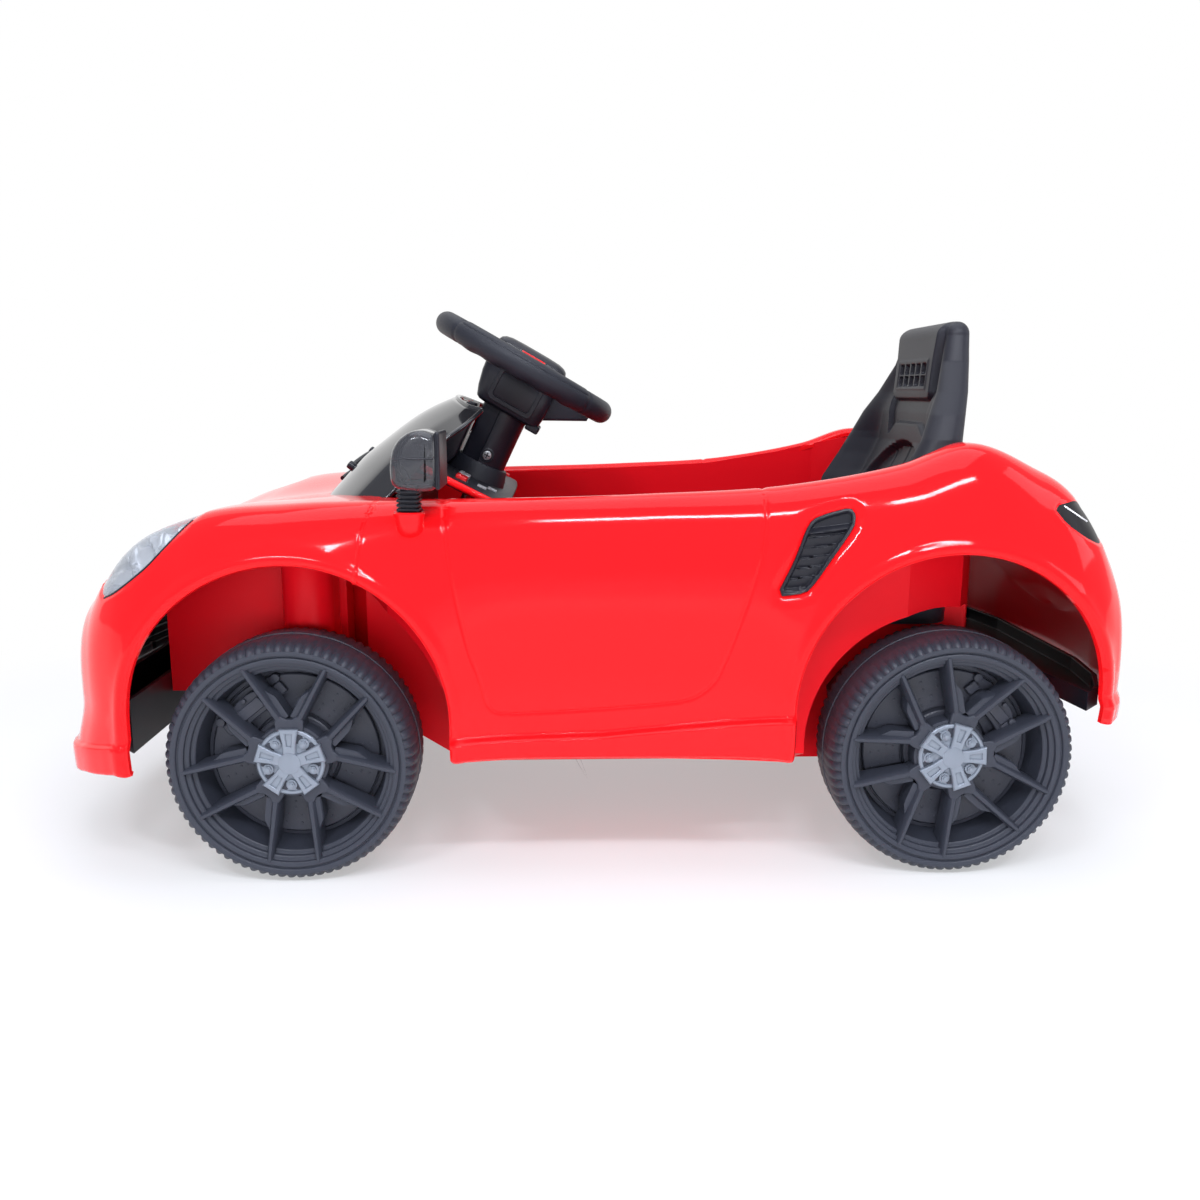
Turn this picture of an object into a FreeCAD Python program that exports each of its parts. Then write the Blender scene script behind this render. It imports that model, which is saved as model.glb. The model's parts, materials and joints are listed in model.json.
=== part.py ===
import FreeCAD, Part
import math
import os
from types import SimpleNamespace
import Sketcher

V = FreeCAD.Vector
doc = FreeCAD.newDocument("ride_on_car")
sheet = doc.addObject("Spreadsheet::Sheet", "sizes")

# Driving sizes in millimetres and degrees. Front of the car is -X, its left side is -Y.
driving_sizes = [
    ("wheelbase", 600, "front axle to rear axle"),
    ("front_overhang", 246, "front axle to tip of front lip"),
    ("rear_overhang", 193, "rear axle to end of tail"),
    ("wheel_dia", 225, "tyre diameter"),
    ("wheel_width", 78, "tyre width"),
    ("track_face", 250, "centre plane to outer tyre face"),
    ("rim_dia", 197, "edge of the rim on the tyre face"),
    ("hub_cap_dia", 63, "silver hub cap"),
    ("axle_dia", 10, "steel axles and steering rod"),
    ("run_gap", 0.15, "radial gap of a turning shaft"),
    ("seat_gap", 0.3, "gap between neighbouring parts"),
    ("skin_wall", 4, "body skin"),
    ("tub_wall", 4, "cockpit tub"),
    ("fender_half", 262, "half width over the front wheels"),
    ("door_half", 252, "half width at the doors"),
    ("hip_half", 264, "half width over the rear wheels"),
    ("sill_half", 262, "half width over the sills"),
    ("sill_low", 117, "underside of the sills"),
    ("sill_step", 142, "ledge on top of the sills"),
    ("nose_low", 84, "underside of the nose"),
    ("tail_low", 143, "underside of the tail"),
    ("lip_out", 21, "front lip beyond the nose face"),
    ("belt_z", 346, "top edge of the doors"),
    ("hood_z", 341, "crest above the front wheels"),
    ("haunch_z", 392, "body top beside the seat back"),
    ("crest_in", 208, "crest to centre plane"),
    ("arch_gap", 28.5, "tyre to arch edge"),
    ("arch_lift", 39, "front arch centre above the axle"),
    ("rear_arch_lift", 48, "rear arch centre above the axle"),
    ("tub_half", 204, "half width of the cockpit opening"),
    ("tub_floor", 70, "underside of the tub"),
    ("deck_z", 204, "seat deck of the tub"),
    ("bay_half", 118, "half width of the tub between wheels"),
    ("well_gap", 32.5, "front tyre to wheel well"),
    ("rear_well_gap", 15.5, "rear tyre to wheel well"),
    ("toe_rise", 75, "rise of the toe board"),
    ("side_rise", 34, "rise of the tub underside towards the sills"),
    ("kingpin_half", 145, "centre plane to kingpin"),
    ("arm_length", 50, "kingpin to tie rod pin"),
    ("steer_back", 205, "steering wheel centre behind front axle"),
    ("steer_z", 464, "steering wheel centre above floor"),
    ("column_tilt", 25.6, "column from the vertical"),
    ("rim_rake", 4, "steering wheel leans back more than its column"),
    ("rim_ring_dia", 184, "steering rim centre circle"),
    ("rim_grip_dia", 25, "steering rim tube"),
    ("sleeve_dia", 50, "column sleeve"),
    ("screen_top", 434, "top of the windscreen"),
    ("seat_top", 510, "top of the headrest"),
    ("seat_half", 136, "half width of the seat back"),
    ("head_half", 74, "half width of the headrest"),
    ("mirror_half", 240, "centre plane to mirror post"),
    ("mirror_z", 357, "underside of the mirror housing"),
    ("mirror_width", 60, "mirror across the car"),
    ("battery_length", 151, "battery across the car"),
    ("battery_height", 94, "battery height"),
    ("battery_depth", 65, "battery along the car"),
    ("motor_dia", 36, "drive motor"),
]


class Dim:
    # A number together with the sheet expression that gives it.
    def __init__(self, value, text=None):
        self.value = float(value)
        self.text = text if text else f"({float(value)!r})"

    def join(self, other, sign, result):
        return Dim(result, f"({self.text} {sign} {other.text})")

    def __add__(self, other):
        other = dim(other)
        return self.join(other, "+", self.value + other.value)

    def __sub__(self, other):
        other = dim(other)
        return self.join(other, "-", self.value - other.value)

    def __mul__(self, other):
        other = dim(other)
        return self.join(other, "*", self.value * other.value)

    def __truediv__(self, other):
        other = dim(other)
        return self.join(other, "/", self.value / other.value)

    def __neg__(self):
        return Dim(-self.value, f"(0 - {self.text})")

    def __radd__(self, other):
        return dim(other) + self

    def __rsub__(self, other):
        return dim(other) - self

    def __rmul__(self, other):
        return dim(other) * self


def dim(value):
    return value if isinstance(value, Dim) else Dim(value)


def both(value):
    return (-dim(value), dim(value))


for row, (alias, value, note) in enumerate(driving_sizes, 1):
    sheet.set(f"A{row}", note)
    sheet.set(f"B{row}", str(value))
    sheet.setAlias(f"B{row}", alias)
doc.recompute()
d = SimpleNamespace(**{alias: Dim(value, f"sizes.{alias}") for alias, value, note in driving_sizes})


def bind(obj, prop, value):
    obj.setExpression(prop, dim(value).text)


def place(obj, x=0, y=0, z=0, turn=None):
    if turn:
        obj.Placement = FreeCAD.Placement(V(), turn)
    for axis, value in zip("xyz", (x, y, z)):
        bind(obj, f"Placement.Base.{axis}", value)
    return obj


def box(name, x, y, z):
    obj = doc.addObject("Part::Box", name)
    for prop, (low, high) in zip(("Length", "Width", "Height"), (x, y, z)):
        bind(obj, prop, dim(high) - low)
    return place(obj, x[0], y[0], z[0])


turns = {"x": FreeCAD.Rotation(V(0, 1, 0), 90), "y": FreeCAD.Rotation(V(1, 0, 0), -90), "z": None}


def along(axis, at, start):
    a, b = at
    return {"x": (start, a, b), "y": (a, start, b), "z": (a, b, start)}[axis]


def rod(name, axis, at, radius, span):
    obj = doc.addObject("Part::Cylinder", name)
    bind(obj, "Radius", radius)
    bind(obj, "Height", dim(span[1]) - span[0])
    return place(obj, *along(axis, at, span[0]), turn=turns[axis])


def cone(name, axis, at, radius_low, radius_high, span):
    obj = doc.addObject("Part::Cone", name)
    bind(obj, "Radius1", radius_low)
    bind(obj, "Radius2", radius_high)
    bind(obj, "Height", dim(span[1]) - span[0])
    return place(obj, *along(axis, at, span[0]), turn=turns[axis])


def hexagon(name, axis, at, radius, span):
    obj = doc.addObject("Part::Prism", name)
    obj.Polygon = 6
    bind(obj, "Circumradius", radius)
    bind(obj, "Height", dim(span[1]) - span[0])
    return place(obj, *along(axis, at, span[0]), turn=turns[axis])


def fuse(name, *parts):
    obj = doc.addObject("Part::MultiFuse", name)
    obj.Shapes = list(parts)
    return obj


def cut(name, base, *tools):
    obj = doc.addObject("Part::Cut", name)
    obj.Base = base
    obj.Tool = tools[0] if len(tools) == 1 else fuse(name + "_tools", *tools)
    return obj


def common(name, first, second):
    obj = doc.addObject("Part::Common", name)
    obj.Base, obj.Tool = first, second
    return obj


def rounded(name, base, radius, edges):
    obj = doc.addObject("Part::Fillet", name)
    obj.Base = base
    obj.Edges = [(edge, radius, radius) for edge in edges]
    return obj


def group(name, *parts):
    obj = doc.addObject("Part::Compound", name)
    obj.Links = list(parts)
    return obj


def mirrored(name, source):
    obj = doc.addObject("Part::Mirroring", name)
    obj.Source = source
    obj.Normal, obj.Base = V(0, 1, 0), V(0, 0, 0)
    return obj


def feature(name, shape):
    obj = doc.addObject("Part::Feature", name)
    obj.Shape = shape
    obj.Placement = FreeCAD.Placement()
    return obj


def outline(body, plane, points):
    support = [f for f in body.Origin.OriginFeatures if f.Role == plane][0]
    sketch = body.newObject("Sketcher::SketchObject", body.Name + "_outline")
    sketch.AttachmentSupport = [(support, "")]
    sketch.MapMode = "FlatFace"
    points = [(dim(a), dim(b)) for a, b in points]
    count = len(points)
    ends = [V(a.value, b.value, 0) for a, b in points]
    for i in range(count):
        sketch.addGeometry(Part.LineSegment(ends[i], ends[(i + 1) % count]), False)
    for i in range(count):
        sketch.addConstraint(Sketcher.Constraint("Coincident", i, 2, (i + 1) % count, 1))
    for i, (a, b) in enumerate(points):
        for kind, value in (("DistanceX", a), ("DistanceY", b)):
            index = sketch.addConstraint(Sketcher.Constraint(kind, i, 1, value.value))
            sketch.setExpression(f"Constraints[{index}]", value.text)
    return sketch


def prism(name, plane, points, span):
    body = doc.addObject("PartDesign::Body", name)
    pad = body.newObject("PartDesign::Pad", name + "_pad")
    pad.Profile = outline(body, plane + "_Plane", points)
    bind(pad, "Length", dim(span[1]) - span[0])
    body.Tip = pad
    axis = {"XY": "z", "XZ": "y", "YZ": "x"}[plane]
    bind(body, f"Placement.Base.{axis}", span[1] if plane == "XZ" else span[0])
    return body


def lathe(name, points):
    # Points are radius and distance along the Y axis.
    body = doc.addObject("PartDesign::Body", name)
    turn = body.newObject("PartDesign::Revolution", name + "_turn")
    turn.Profile = outline(body, "XY_Plane", points)
    turn.ReferenceAxis = (turn.Profile[0], ["V_Axis"])
    turn.Angle = 360
    body.Tip = turn
    return body


def windows(body, name, points, count):
    # Openings through the wheel face, repeated about the axle.
    doc.recompute()
    sketch = outline(body, "XZ_Plane", points)
    pocket = body.newObject("PartDesign::Pocket", name)
    pocket.Profile = sketch
    pocket.Type = "ThroughAll"
    pocket.Midplane = True
    body.Tip = pocket
    doc.recompute()
    pattern = body.newObject("PartDesign::PolarPattern", name + "_ring")
    pattern.Originals = [pocket]
    pattern.Axis = (sketch, ["N_Axis"])
    pattern.Angle = 360
    pattern.Occurrences = count
    body.Tip = pattern
    doc.recompute()
    return body


pieces = []


def piece(obj):
    pieces.append(obj)
    return obj


# Places shared by many parts.
gap = d.seat_gap
front_x = (d.front_overhang - d.rear_overhang - d.wheelbase) / 2
rear_x = front_x + d.wheelbase
axle_z = d.wheel_dia / 2
axle_r = d.axle_dia / 2
bore_r = axle_r + d.run_gap
hub_y = d.track_face - d.wheel_width / 2
nose_x = front_x - d.front_overhang + d.lip_out + 2
tail_x = rear_x + d.rear_overhang
tilt = math.radians(d.column_tilt.value)
steer_x = front_x + d.steer_back
steer_frame = FreeCAD.Rotation(V(0, 1, 0), d.column_tilt.value)
rim_frame = FreeCAD.Rotation(V(0, 1, 0), d.column_tilt.value + d.rim_rake.value)

# Body skin: cross sections along the car, each an elliptic shoulder over a nearly upright side.
side_z = 205


def station(x, half, low, crest_y, crest_z, centre_z):
    return [dim(value).value for value in (x, half, low, crest_y, crest_z, centre_z)]


stations = [
    station(nose_x, 118, d.nose_low, 70, d.hood_z - 127, d.hood_z - 123),
    station(nose_x + 12, 166, d.nose_low, 112, d.hood_z - 108, d.hood_z - 104),
    station(nose_x + 37, d.fender_half - 50, d.nose_low, 150, d.hood_z - 84, d.hood_z - 80),
    station(nose_x + 72, d.fender_half - 19, d.nose_low + 4, 178, d.hood_z - 44, d.hood_z - 44),
    station(front_x - 86, d.fender_half - 4, 100, d.crest_in - 14, d.hood_z - 11, d.hood_z - 20),
    station(front_x, d.fender_half, 108, d.crest_in - 9, d.hood_z, d.hood_z - 8),
    station(front_x + 79, d.fender_half - 3, d.sill_low, d.crest_in - 4, d.belt_z - 2, d.belt_z - 4),
    station(front_x + 179, d.door_half + 1, d.sill_low, d.crest_in, d.belt_z, d.belt_z),
    station(front_x + 319, d.door_half, d.sill_low, d.crest_in, d.belt_z + 4, d.belt_z + 4),
    station(rear_x - 151, d.hip_half - 6, d.sill_low, d.crest_in, d.belt_z + 12, d.belt_z + 12),
    station(rear_x - 51, d.hip_half, 125, d.crest_in - 1, d.haunch_z - 16, d.haunch_z - 15),
    station(rear_x + 14, d.hip_half, 130, d.crest_in - 8, d.haunch_z, d.haunch_z + 2),
    station(rear_x + 69, d.hip_half - 4, 138, d.crest_in - 18, d.haunch_z - 14, d.haunch_z - 9),
    station(tail_x - 83, d.hip_half - 12, d.tail_low, 180, d.haunch_z - 41, d.haunch_z - 35),
    station(tail_x - 53, d.hip_half - 26, d.tail_low, 165, d.haunch_z - 76, d.haunch_z - 70),
    station(tail_x - 28, d.hip_half - 52, d.tail_low, 140, d.haunch_z - 117, d.haunch_z - 110),
    station(tail_x - 11, 172, d.tail_low, 110, d.haunch_z - 148, d.haunch_z - 142),
    station(tail_x, 122, d.tail_low, 78, d.haunch_z - 168, d.haunch_z - 162),
]


def half_section(half, low, crest_y, crest_z, centre_z, inset):
    half, crest_y, crest_z, centre_z = half - inset, crest_y - inset, crest_z - inset, centre_z - inset
    wide_z = min(side_z, low + 0.55 * (crest_z - low))
    points = [(half - 6, low - 30 * (inset > 0)), (half - 1.5, low + 0.4 * (wide_z - low))]
    for degrees in (0, 28, 52, 72, 90):
        angle = math.radians(degrees)
        y = crest_y + (half - crest_y) * math.cos(angle) ** 0.8
        points.append((y, wide_z + (crest_z - wide_z) * math.sin(angle) ** 0.8))
    points.append((0.5 * crest_y, 0.35 * crest_z + 0.65 * centre_z))
    return points + [(0, centre_z)]


def skin_solid(inset):
    wires = []
    for x, *rest in stations:
        half = half_section(*rest, inset)
        x = x * (1 - inset / abs(tail_x.value))
        left = [V(x, -y, z) for y, z in half]
        right = [V(x, y, z) for y, z in reversed(half[:-1])]
        curve = Part.BSplineCurve()
        curve.interpolate(left + right)
        close = Part.LineSegment(right[-1], left[0])
        wires.append(Part.Wire([curve.toShape(), close.toShape()]))
    return Part.makeLoft(wires, True, False)


wall = d.skin_wall.value
outer_solid = skin_solid(0)
skin_inner = skin_solid(wall)
skin = feature("skin", outer_solid.cut(skin_inner))

# Cockpit outline seen from above, shared by the body opening and the tub.
tub_front, tub_rear = front_x + 29, rear_x + 57


def cockpit(grow):
    half = d.tub_half + grow
    side = [(tub_front - grow, dim(80) + grow), (front_x + 79 - grow, half - 34),
            (front_x + 129 - grow, half), (rear_x - 36 + grow, half),
            (rear_x + 24 + grow, half - 30), (tub_rear + grow, half - 99)]
    return side + [(x, -y) for x, y in reversed(side)]


opening = prism("opening", "XY", cockpit(gap), (250, 520))
arch_r = d.wheel_dia / 2 + d.arch_gap
front_arch = (front_x + 3, axle_z + d.arch_lift)
rear_arch = (rear_x - 7, axle_z + d.rear_arch_lift)
arch_tools = []
for name, (x, z) in (("front_arch", front_arch), ("rear_arch", rear_arch)):
    arch_tools.append(rod(name, "y", (x, z), arch_r, both(300)))
    arch_tools.append(box(name + "_foot", (x - arch_r, x + arch_r), both(300), (0, z)))

headlight_points = [(front_x - 173, 252), (front_x - 167, 273), (front_x - 152, 294), (front_x - 131, 311),
                    (front_x - 107, 324), (front_x - 82, 333), (front_x - 94, 320), (front_x - 112, 300),
                    (front_x - 133, 279), (front_x - 157, 259)]
tail_points = [(rear_x + 80, 339), (rear_x + 108, 341), (rear_x + 114, 335), (rear_x + 129, 307),
               (rear_x + 121, 308), (rear_x + 100, 324)]
vent_points = [(rear_x - 139, 339), (rear_x - 106, 342), (rear_x - 110, 322), (rear_x - 132, 278),
               (rear_x - 142, 265), (rear_x - 169, 264), (rear_x - 159, 296), (rear_x - 148, 327)]


def grown(points, amount):
    # Moves every corner of an outline away from its middle.
    mid_x = sum(dim(x).value for x, z in points) / len(points)
    mid_z = sum(dim(z).value for x, z in points) / len(points)
    result = []
    for x, z in points:
        dx, dz = dim(x).value - mid_x, dim(z).value - mid_z
        size = math.hypot(dx, dz)
        result.append((x + amount * (dx / size), dim(z) + amount * (dz / size)))
    return result


def side_cutter(name, points, inner, grow):
    # Outline pushed in from the left side, kept outside a line seen from above.
    (x0, y0), (x1, y1) = inner
    plan = [(x0, -dim(y0) + grow), (x1, -dim(y1) + grow), (x1, -dim(300)), (x0, -dim(300))]
    return common(name, prism(name + "_side", "XZ", grown(points, grow) if grow else points, (-dim(300), -dim(50))),
                  prism(name + "_plan", "XY", plan, (60, 420)))


light_line = ((front_x - 200, 112), (front_x - 60, 200))
insert_holes = []
for name, points, inner in (("headlight_lens", headlight_points, light_line),
                            ("tail_lens", tail_points, ((rear_x, 150), (tail_x, 150))),
                            ("side_vent", vent_points, ((rear_x - 300, 215), (rear_x, 215)))):
    left = piece(common(name + "_left", skin, side_cutter(name + "_shape", points, inner, 0)))
    piece(mirrored(name + "_right", left))
    hole = side_cutter(name + "_hole", points, inner, gap * 2)
    insert_holes += [hole, mirrored(name + "_hole_right", hole)]

grille_points = [(-dim(150), 140), (dim(150), 140), (dim(158), 196), (dim(140), 226), (-dim(140), 226), (-dim(158), 196)]
grille_span = (nose_x - 20, nose_x + 24)
grille_shape = prism("grille_shape", "YZ", grille_points, grille_span)
grille_slots = [box(f"grille_slot_{i}", grille_span, both(132 - 4 * i), (147 + 17 * i, 157 + 17 * i)) for i in range(4)]
piece(cut("front_grille", common("grille_blank", skin, grille_shape), *grille_slots))
insert_holes.append(prism("grille_hole", "YZ", grown(grille_points, gap * 2), grille_span))

# Lip under the nose, sills and mirror sockets are moulded with the skin.
tip_x = front_x - d.front_overhang
lip_root = [(front_x - 139, 243), (front_x - 188, 212), (front_x - 212, 162), (nose_x + 5, 100), (nose_x + 3, 40)]
lip_edge = [(front_x - 139, 248), (front_x - 187, 229), (front_x - 220, 185), (tip_x + 8, 110), (tip_x, 40)]
lip_back = [(nose_x + 16, 60), (nose_x + 24, 110), (front_x - 190, 186), (front_x - 139, 232)]


def other_side(points):
    return [(x, -dim(y)) for x, y in reversed(points)]


def other_hand(points):
    return [(-dim(y), z) for y, z in reversed(points)]


def lip_wire(z, flare):
    edge = [(a[0] + flare * (b[0] - a[0]), dim(a[1]) + flare * (dim(b[1]) - a[1])) for a, b in zip(lip_root, lip_edge)]
    ring = edge + other_side(edge) + other_side(lip_back) + lip_back
    points = [V(dim(x).value, dim(y).value, dim(z).value) for x, y in ring]
    return Part.makePolygon(points + points[:1])


lip = feature("lip", Part.makeLoft([lip_wire(d.nose_low - 5, 0.7), lip_wire(d.nose_low + 5, 1),
                                    lip_wire(d.nose_low + 16, 1), lip_wire(d.nose_low + 62, 0)], True, True))
lip_rise = prism("lip_rise", "XZ", [(front_x - 238, d.nose_low - 10), (front_x - 207, d.nose_low + 6),
                                    (front_x - 177, d.nose_low + 14), (front_x - 128, d.nose_low + 20),
                                    (front_x - 128, d.nose_low - 10)], both(300))
sill = box("sill", (front_x + 130, rear_x - 135), (-d.sill_half, -d.door_half + 16), (d.sill_low, d.sill_step))
mirror_x = front_x + 113
post_r = dim(8)
socket = rod("socket", "z", (mirror_x, -d.mirror_half), post_r + 5, (d.mirror_z - 52, d.mirror_z - 19))
socket_bore = rod("socket_bore", "z", (mirror_x, -d.mirror_half), post_r + d.run_gap,
                  (d.mirror_z - 30, d.mirror_z - 10))
body_solid = fuse("body_solid", skin, lip, sill, mirrored("sill_right", sill),
                  socket, mirrored("socket_right", socket))
piece(cut("body_shell", body_solid, *arch_tools, lip_rise, opening, *insert_holes,
          socket_bore, mirrored("socket_bore_right", socket_bore)))

layer = feature("layer", skin_solid(wall + gap.value).cut(skin_solid(wall + 10)))
housing_shape = side_cutter("housing_shape", headlight_points, light_line, dim(4))
housing = piece(common("headlight_housing_left", layer, housing_shape))
piece(mirrored("headlight_housing_right", housing))

# Cockpit tub: floor, walls, wheel wells, seat deck with battery bay, carrier for the kingpins.
w = d.tub_wall
bay_front = rear_x - 171
block = prism("block", "XY", cockpit(dim(0)), (d.tub_floor, 420))


def wells(name, grow):
    result = []
    for end, x, room in (("front", front_x, d.well_gap), ("rear", rear_x, d.rear_well_gap)):
        radius = d.wheel_dia / 2 + room + grow
        for side, span in (("left", (-dim(300), grow - d.bay_half)), ("right", (d.bay_half - grow, dim(300)))):
            result.append(rod(f"{name}_{end}_{side}", "y", (x, axle_z), radius, span))
    return result


def toe_wedge(name, lift):
    start = front_x + 145 + lift
    return prism(name, "XZ", [(start, d.tub_floor - 1), (tub_front - 6, d.tub_floor + d.toe_rise + lift),
                              (tub_front - 6, d.tub_floor - 1)], both(250))


def side_wedges(name, lift):
    # The underside climbs from the wheel bays to the side walls.
    low, high = (d.bay_half, d.tub_floor - 1 + lift), (d.tub_half + 1, d.tub_floor + d.side_rise + lift)
    half = [low, high, (d.tub_half + 1, d.tub_floor - 2), (d.bay_half, d.tub_floor - 2)]
    span = (tub_front - 10, tub_rear + 10)
    return [prism(name + "_right", "YZ", half, span), prism(name + "_left", "YZ", other_hand(half), span)]


trim = prism("trim", "XZ", [(tub_front - 6, d.belt_z - 17), (front_x + 135, d.belt_z - 8), (front_x + 316, d.belt_z - 1),
                            (rear_x - 171, d.belt_z + 5), (rear_x - 81, d.haunch_z - 26), (rear_x - 8, d.haunch_z - 9),
                            (tub_rear + 6, d.haunch_z - 3), (tub_rear + 6, 450), (tub_front - 6, 450)], both(250))
upper_room = prism("upper_room", "XY", cockpit(-w), (d.deck_z, 430))
foot_room = common("foot_room", prism("foot_block", "XY", cockpit(-w), (d.tub_floor + w, d.deck_z + 1)),
                   box("foot_limit", (tub_front - 10, bay_front), both(250), (0, 300)))
room = cut("room", fuse("room_block", upper_room, foot_room), *wells("inner_well", w), toe_wedge("toe_inner", w + 2),
           *side_wedges("side_inner", w + 1))
bay = box("bay", (bay_front + w, tub_rear - 12), both(d.bay_half - w), (d.tub_floor + w, d.deck_z - w))
hatch = box("hatch", (bay_front + 12, bay_front + 105), both(82), (d.deck_z - w - 1, d.deck_z + 1))

carrier_x = front_x - 146
carrier_z = (d.tub_floor + d.toe_rise, dim(284))
carrier = box("carrier", (carrier_x, tub_front + 2), both(d.bay_half), carrier_z)
carrier_room = box("carrier_room", (carrier_x + w, tub_front), both(d.bay_half - w),
                   (carrier_z[0] - 1, carrier_z[1] - w))
tower_r = dim(24)
towers, tower_bores = [], []
for side, y in (("left", -d.kingpin_half), ("right", d.kingpin_half)):
    towers.append(rod(f"tower_{side}", "z", (front_x, y), tower_r, carrier_z))
    tower_bores.append(rod(f"tower_bore_{side}", "z", (front_x, y), bore_r, (carrier_z[0] - 1, carrier_z[0] + 55)))
for side, span in (("left", (-d.kingpin_half, 2 - d.bay_half)), ("right", (d.bay_half - 2, d.kingpin_half))):
    towers.append(box(f"web_{side}", (front_x - tower_r, front_x + tower_r), span, carrier_z))

pedal_x, pedal_z = front_x + 219, d.tub_floor + 14
pedal_y = (dim(40), dim(110))
lugs = [box(f"lug_{i}", (pedal_x - 6, pedal_x + 6), span, (d.tub_floor + 1, pedal_z + 8))
        for i, span in enumerate(((pedal_y[0] - 5, pedal_y[0] - gap), (pedal_y[1] + gap, pedal_y[1] + 5)))]
lug_bore = rod("lug_bore", "y", (pedal_x, pedal_z), 3 + d.run_gap, (pedal_y[0] - 6, pedal_y[1] + 6))
axle_bore = rod("axle_bore", "y", (rear_x, axle_z), bore_r, both(d.bay_half + 10))
motor_at = (rear_x - 62, axle_z + 30)
motor_hole = rod("motor_hole", "y", motor_at, d.motor_dia / 2 + 0.5, both(d.bay_half + 10))
screw_x = bay_front + 4
seat_screw_ys = (-dim(95), dim(95))
screw_bores = [rod(f"screw_bore_{i}", "z", (screw_x, y), 3.1, (d.deck_z - 30, d.deck_z + 90))
               for i, y in enumerate(seat_screw_ys)]


def steered(name, *parts):
    # Parts drawn about the column axis, set on the tilted column.
    obj = group(name, *parts)
    obj.Placement = FreeCAD.Placement(V(steer_x.value, 0, d.steer_z.value), steer_frame)
    return obj


def on_wheel(name, *parts):
    # Parts drawn about the middle of the steering wheel, square to its rim.
    obj = group(name, *parts)
    obj.Placement = FreeCAD.Placement(V(steer_x.value, 0, d.steer_z.value), rim_frame)
    return obj


column_hole = steered("column_hole", rod("column_hole_bar", "z", (0, 0), bore_r, (-420, -180)))
tub_solid = fuse("tub_solid", cut("tub_shape", block, *wells("well", dim(0)), trim, toe_wedge("toe", dim(0)), *side_wedges("side", dim(0)),
                                  room, bay, hatch),
                 cut("carrier_shell", fuse("carrier_block", carrier, *towers), carrier_room), *lugs)
piece(cut("cockpit_tub", tub_solid, *tower_bores, lug_bore, axle_bore, motor_hole, column_hole, *screw_bores))

# Windscreen wrapped round the front of the cockpit.
def screen_wire(z, front, back, half, depth):
    def bow(shift):
        return Part.Arc(V(back + shift, -half + 0.6 * shift, z), V(front + shift, 0, z),
                        V(back + shift, half - 0.6 * shift, z)).toShape()
    outer_arc, inner_arc = bow(0), bow(depth)
    ends = [Part.LineSegment(outer_arc.Vertexes[i].Point, inner_arc.Vertexes[i].Point).toShape() for i in (0, -1)]
    return Part.Wire(Part.__sortEdges__([outer_arc, ends[1], inner_arc, ends[0]]))


fx, top_z = front_x.value, d.screen_top.value
screen_loft = Part.makeLoft([screen_wire(top_z - 99, fx, fx + 73, 170, 7),
                             screen_wire(top_z - 60, fx + 37, fx + 111, 152, 8),
                             screen_wire(top_z - 26, fx + 81, fx + 151, 130, 8),
                             screen_wire(top_z - 10, fx + 107, fx + 164, 114, 9),
                             screen_wire(top_z, fx + 132, fx + 171, 98, 9)], True, False)
piece(feature("windscreen", screen_loft.cut(outer_solid)))

# Dashboard with the column collar, switches and a push button.
sleeve_r = d.sleeve_dia / 2
plate_half = [(-66, 80), (-38, 138), (46, 150)]
plate = prism("plate", "XY", plate_half + other_side(plate_half), (-131, -126))
skirt = box("skirt", (-64, -58), both(78), (-186, -128))
collar = cone("collar", "z", (0, 0), sleeve_r + 8, sleeve_r + 4, (-127, -108))
upright_back = -sleeve_r - 1.5
upright = prism("upright", "XZ", [(upright_back, -53), (upright_back, -127), (-58, -127), (-54, -80), (-36, -53)], both(24))
switch_x = -dim(8)
rocker_ys = {"power_rocker": -dim(88), "direction_rocker": -dim(60)}
rocker_half = (dim(7), dim(10))
button_at = (switch_x, dim(62))
panel_cuts = [rod("collar_bore", "z", (0, 0), sleeve_r + gap, (-140, -100)),
              rod("rod_bore", "z", (0, 0), axle_r + 1, (-230, -130)),
              rod("button_hole", "z", button_at, 6 + gap, (-140, -120))]
for name, y in rocker_ys.items():
    panel_cuts.append(box(name + "_window", (switch_x - rocker_half[0] - 0.8, switch_x + rocker_half[0] + 0.8),
                          (y - rocker_half[1] - gap, y + rocker_half[1] + gap), (-140, -120)))
inner_half = d.tub_half - w - gap
beam_half = [(front_x + 68, inner_half - 61.5), (front_x + 83, inner_half - 34), (front_x + 88, inner_half - 31)]
beam = prism("beam", "XY", beam_half + other_side(beam_half), (d.belt_z - 38, d.belt_z - 14))
piece(cut("dashboard", fuse("dash_solid", steered("dash_plate", fuse("dash_local", plate, skirt, collar, upright)), beam),
          steered("dash_cuts", *panel_cuts)))
for name, y in rocker_ys.items():
    rocker = box(name + "_block", (switch_x - rocker_half[0], switch_x + rocker_half[0]),
                 (y - rocker_half[1], y + rocker_half[1]), (-133, -122))
    piece(steered(name, rocker))
piece(steered("sound_button", rod("sound_button_cap", "z", button_at, 6, (-132, -121))))

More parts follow.
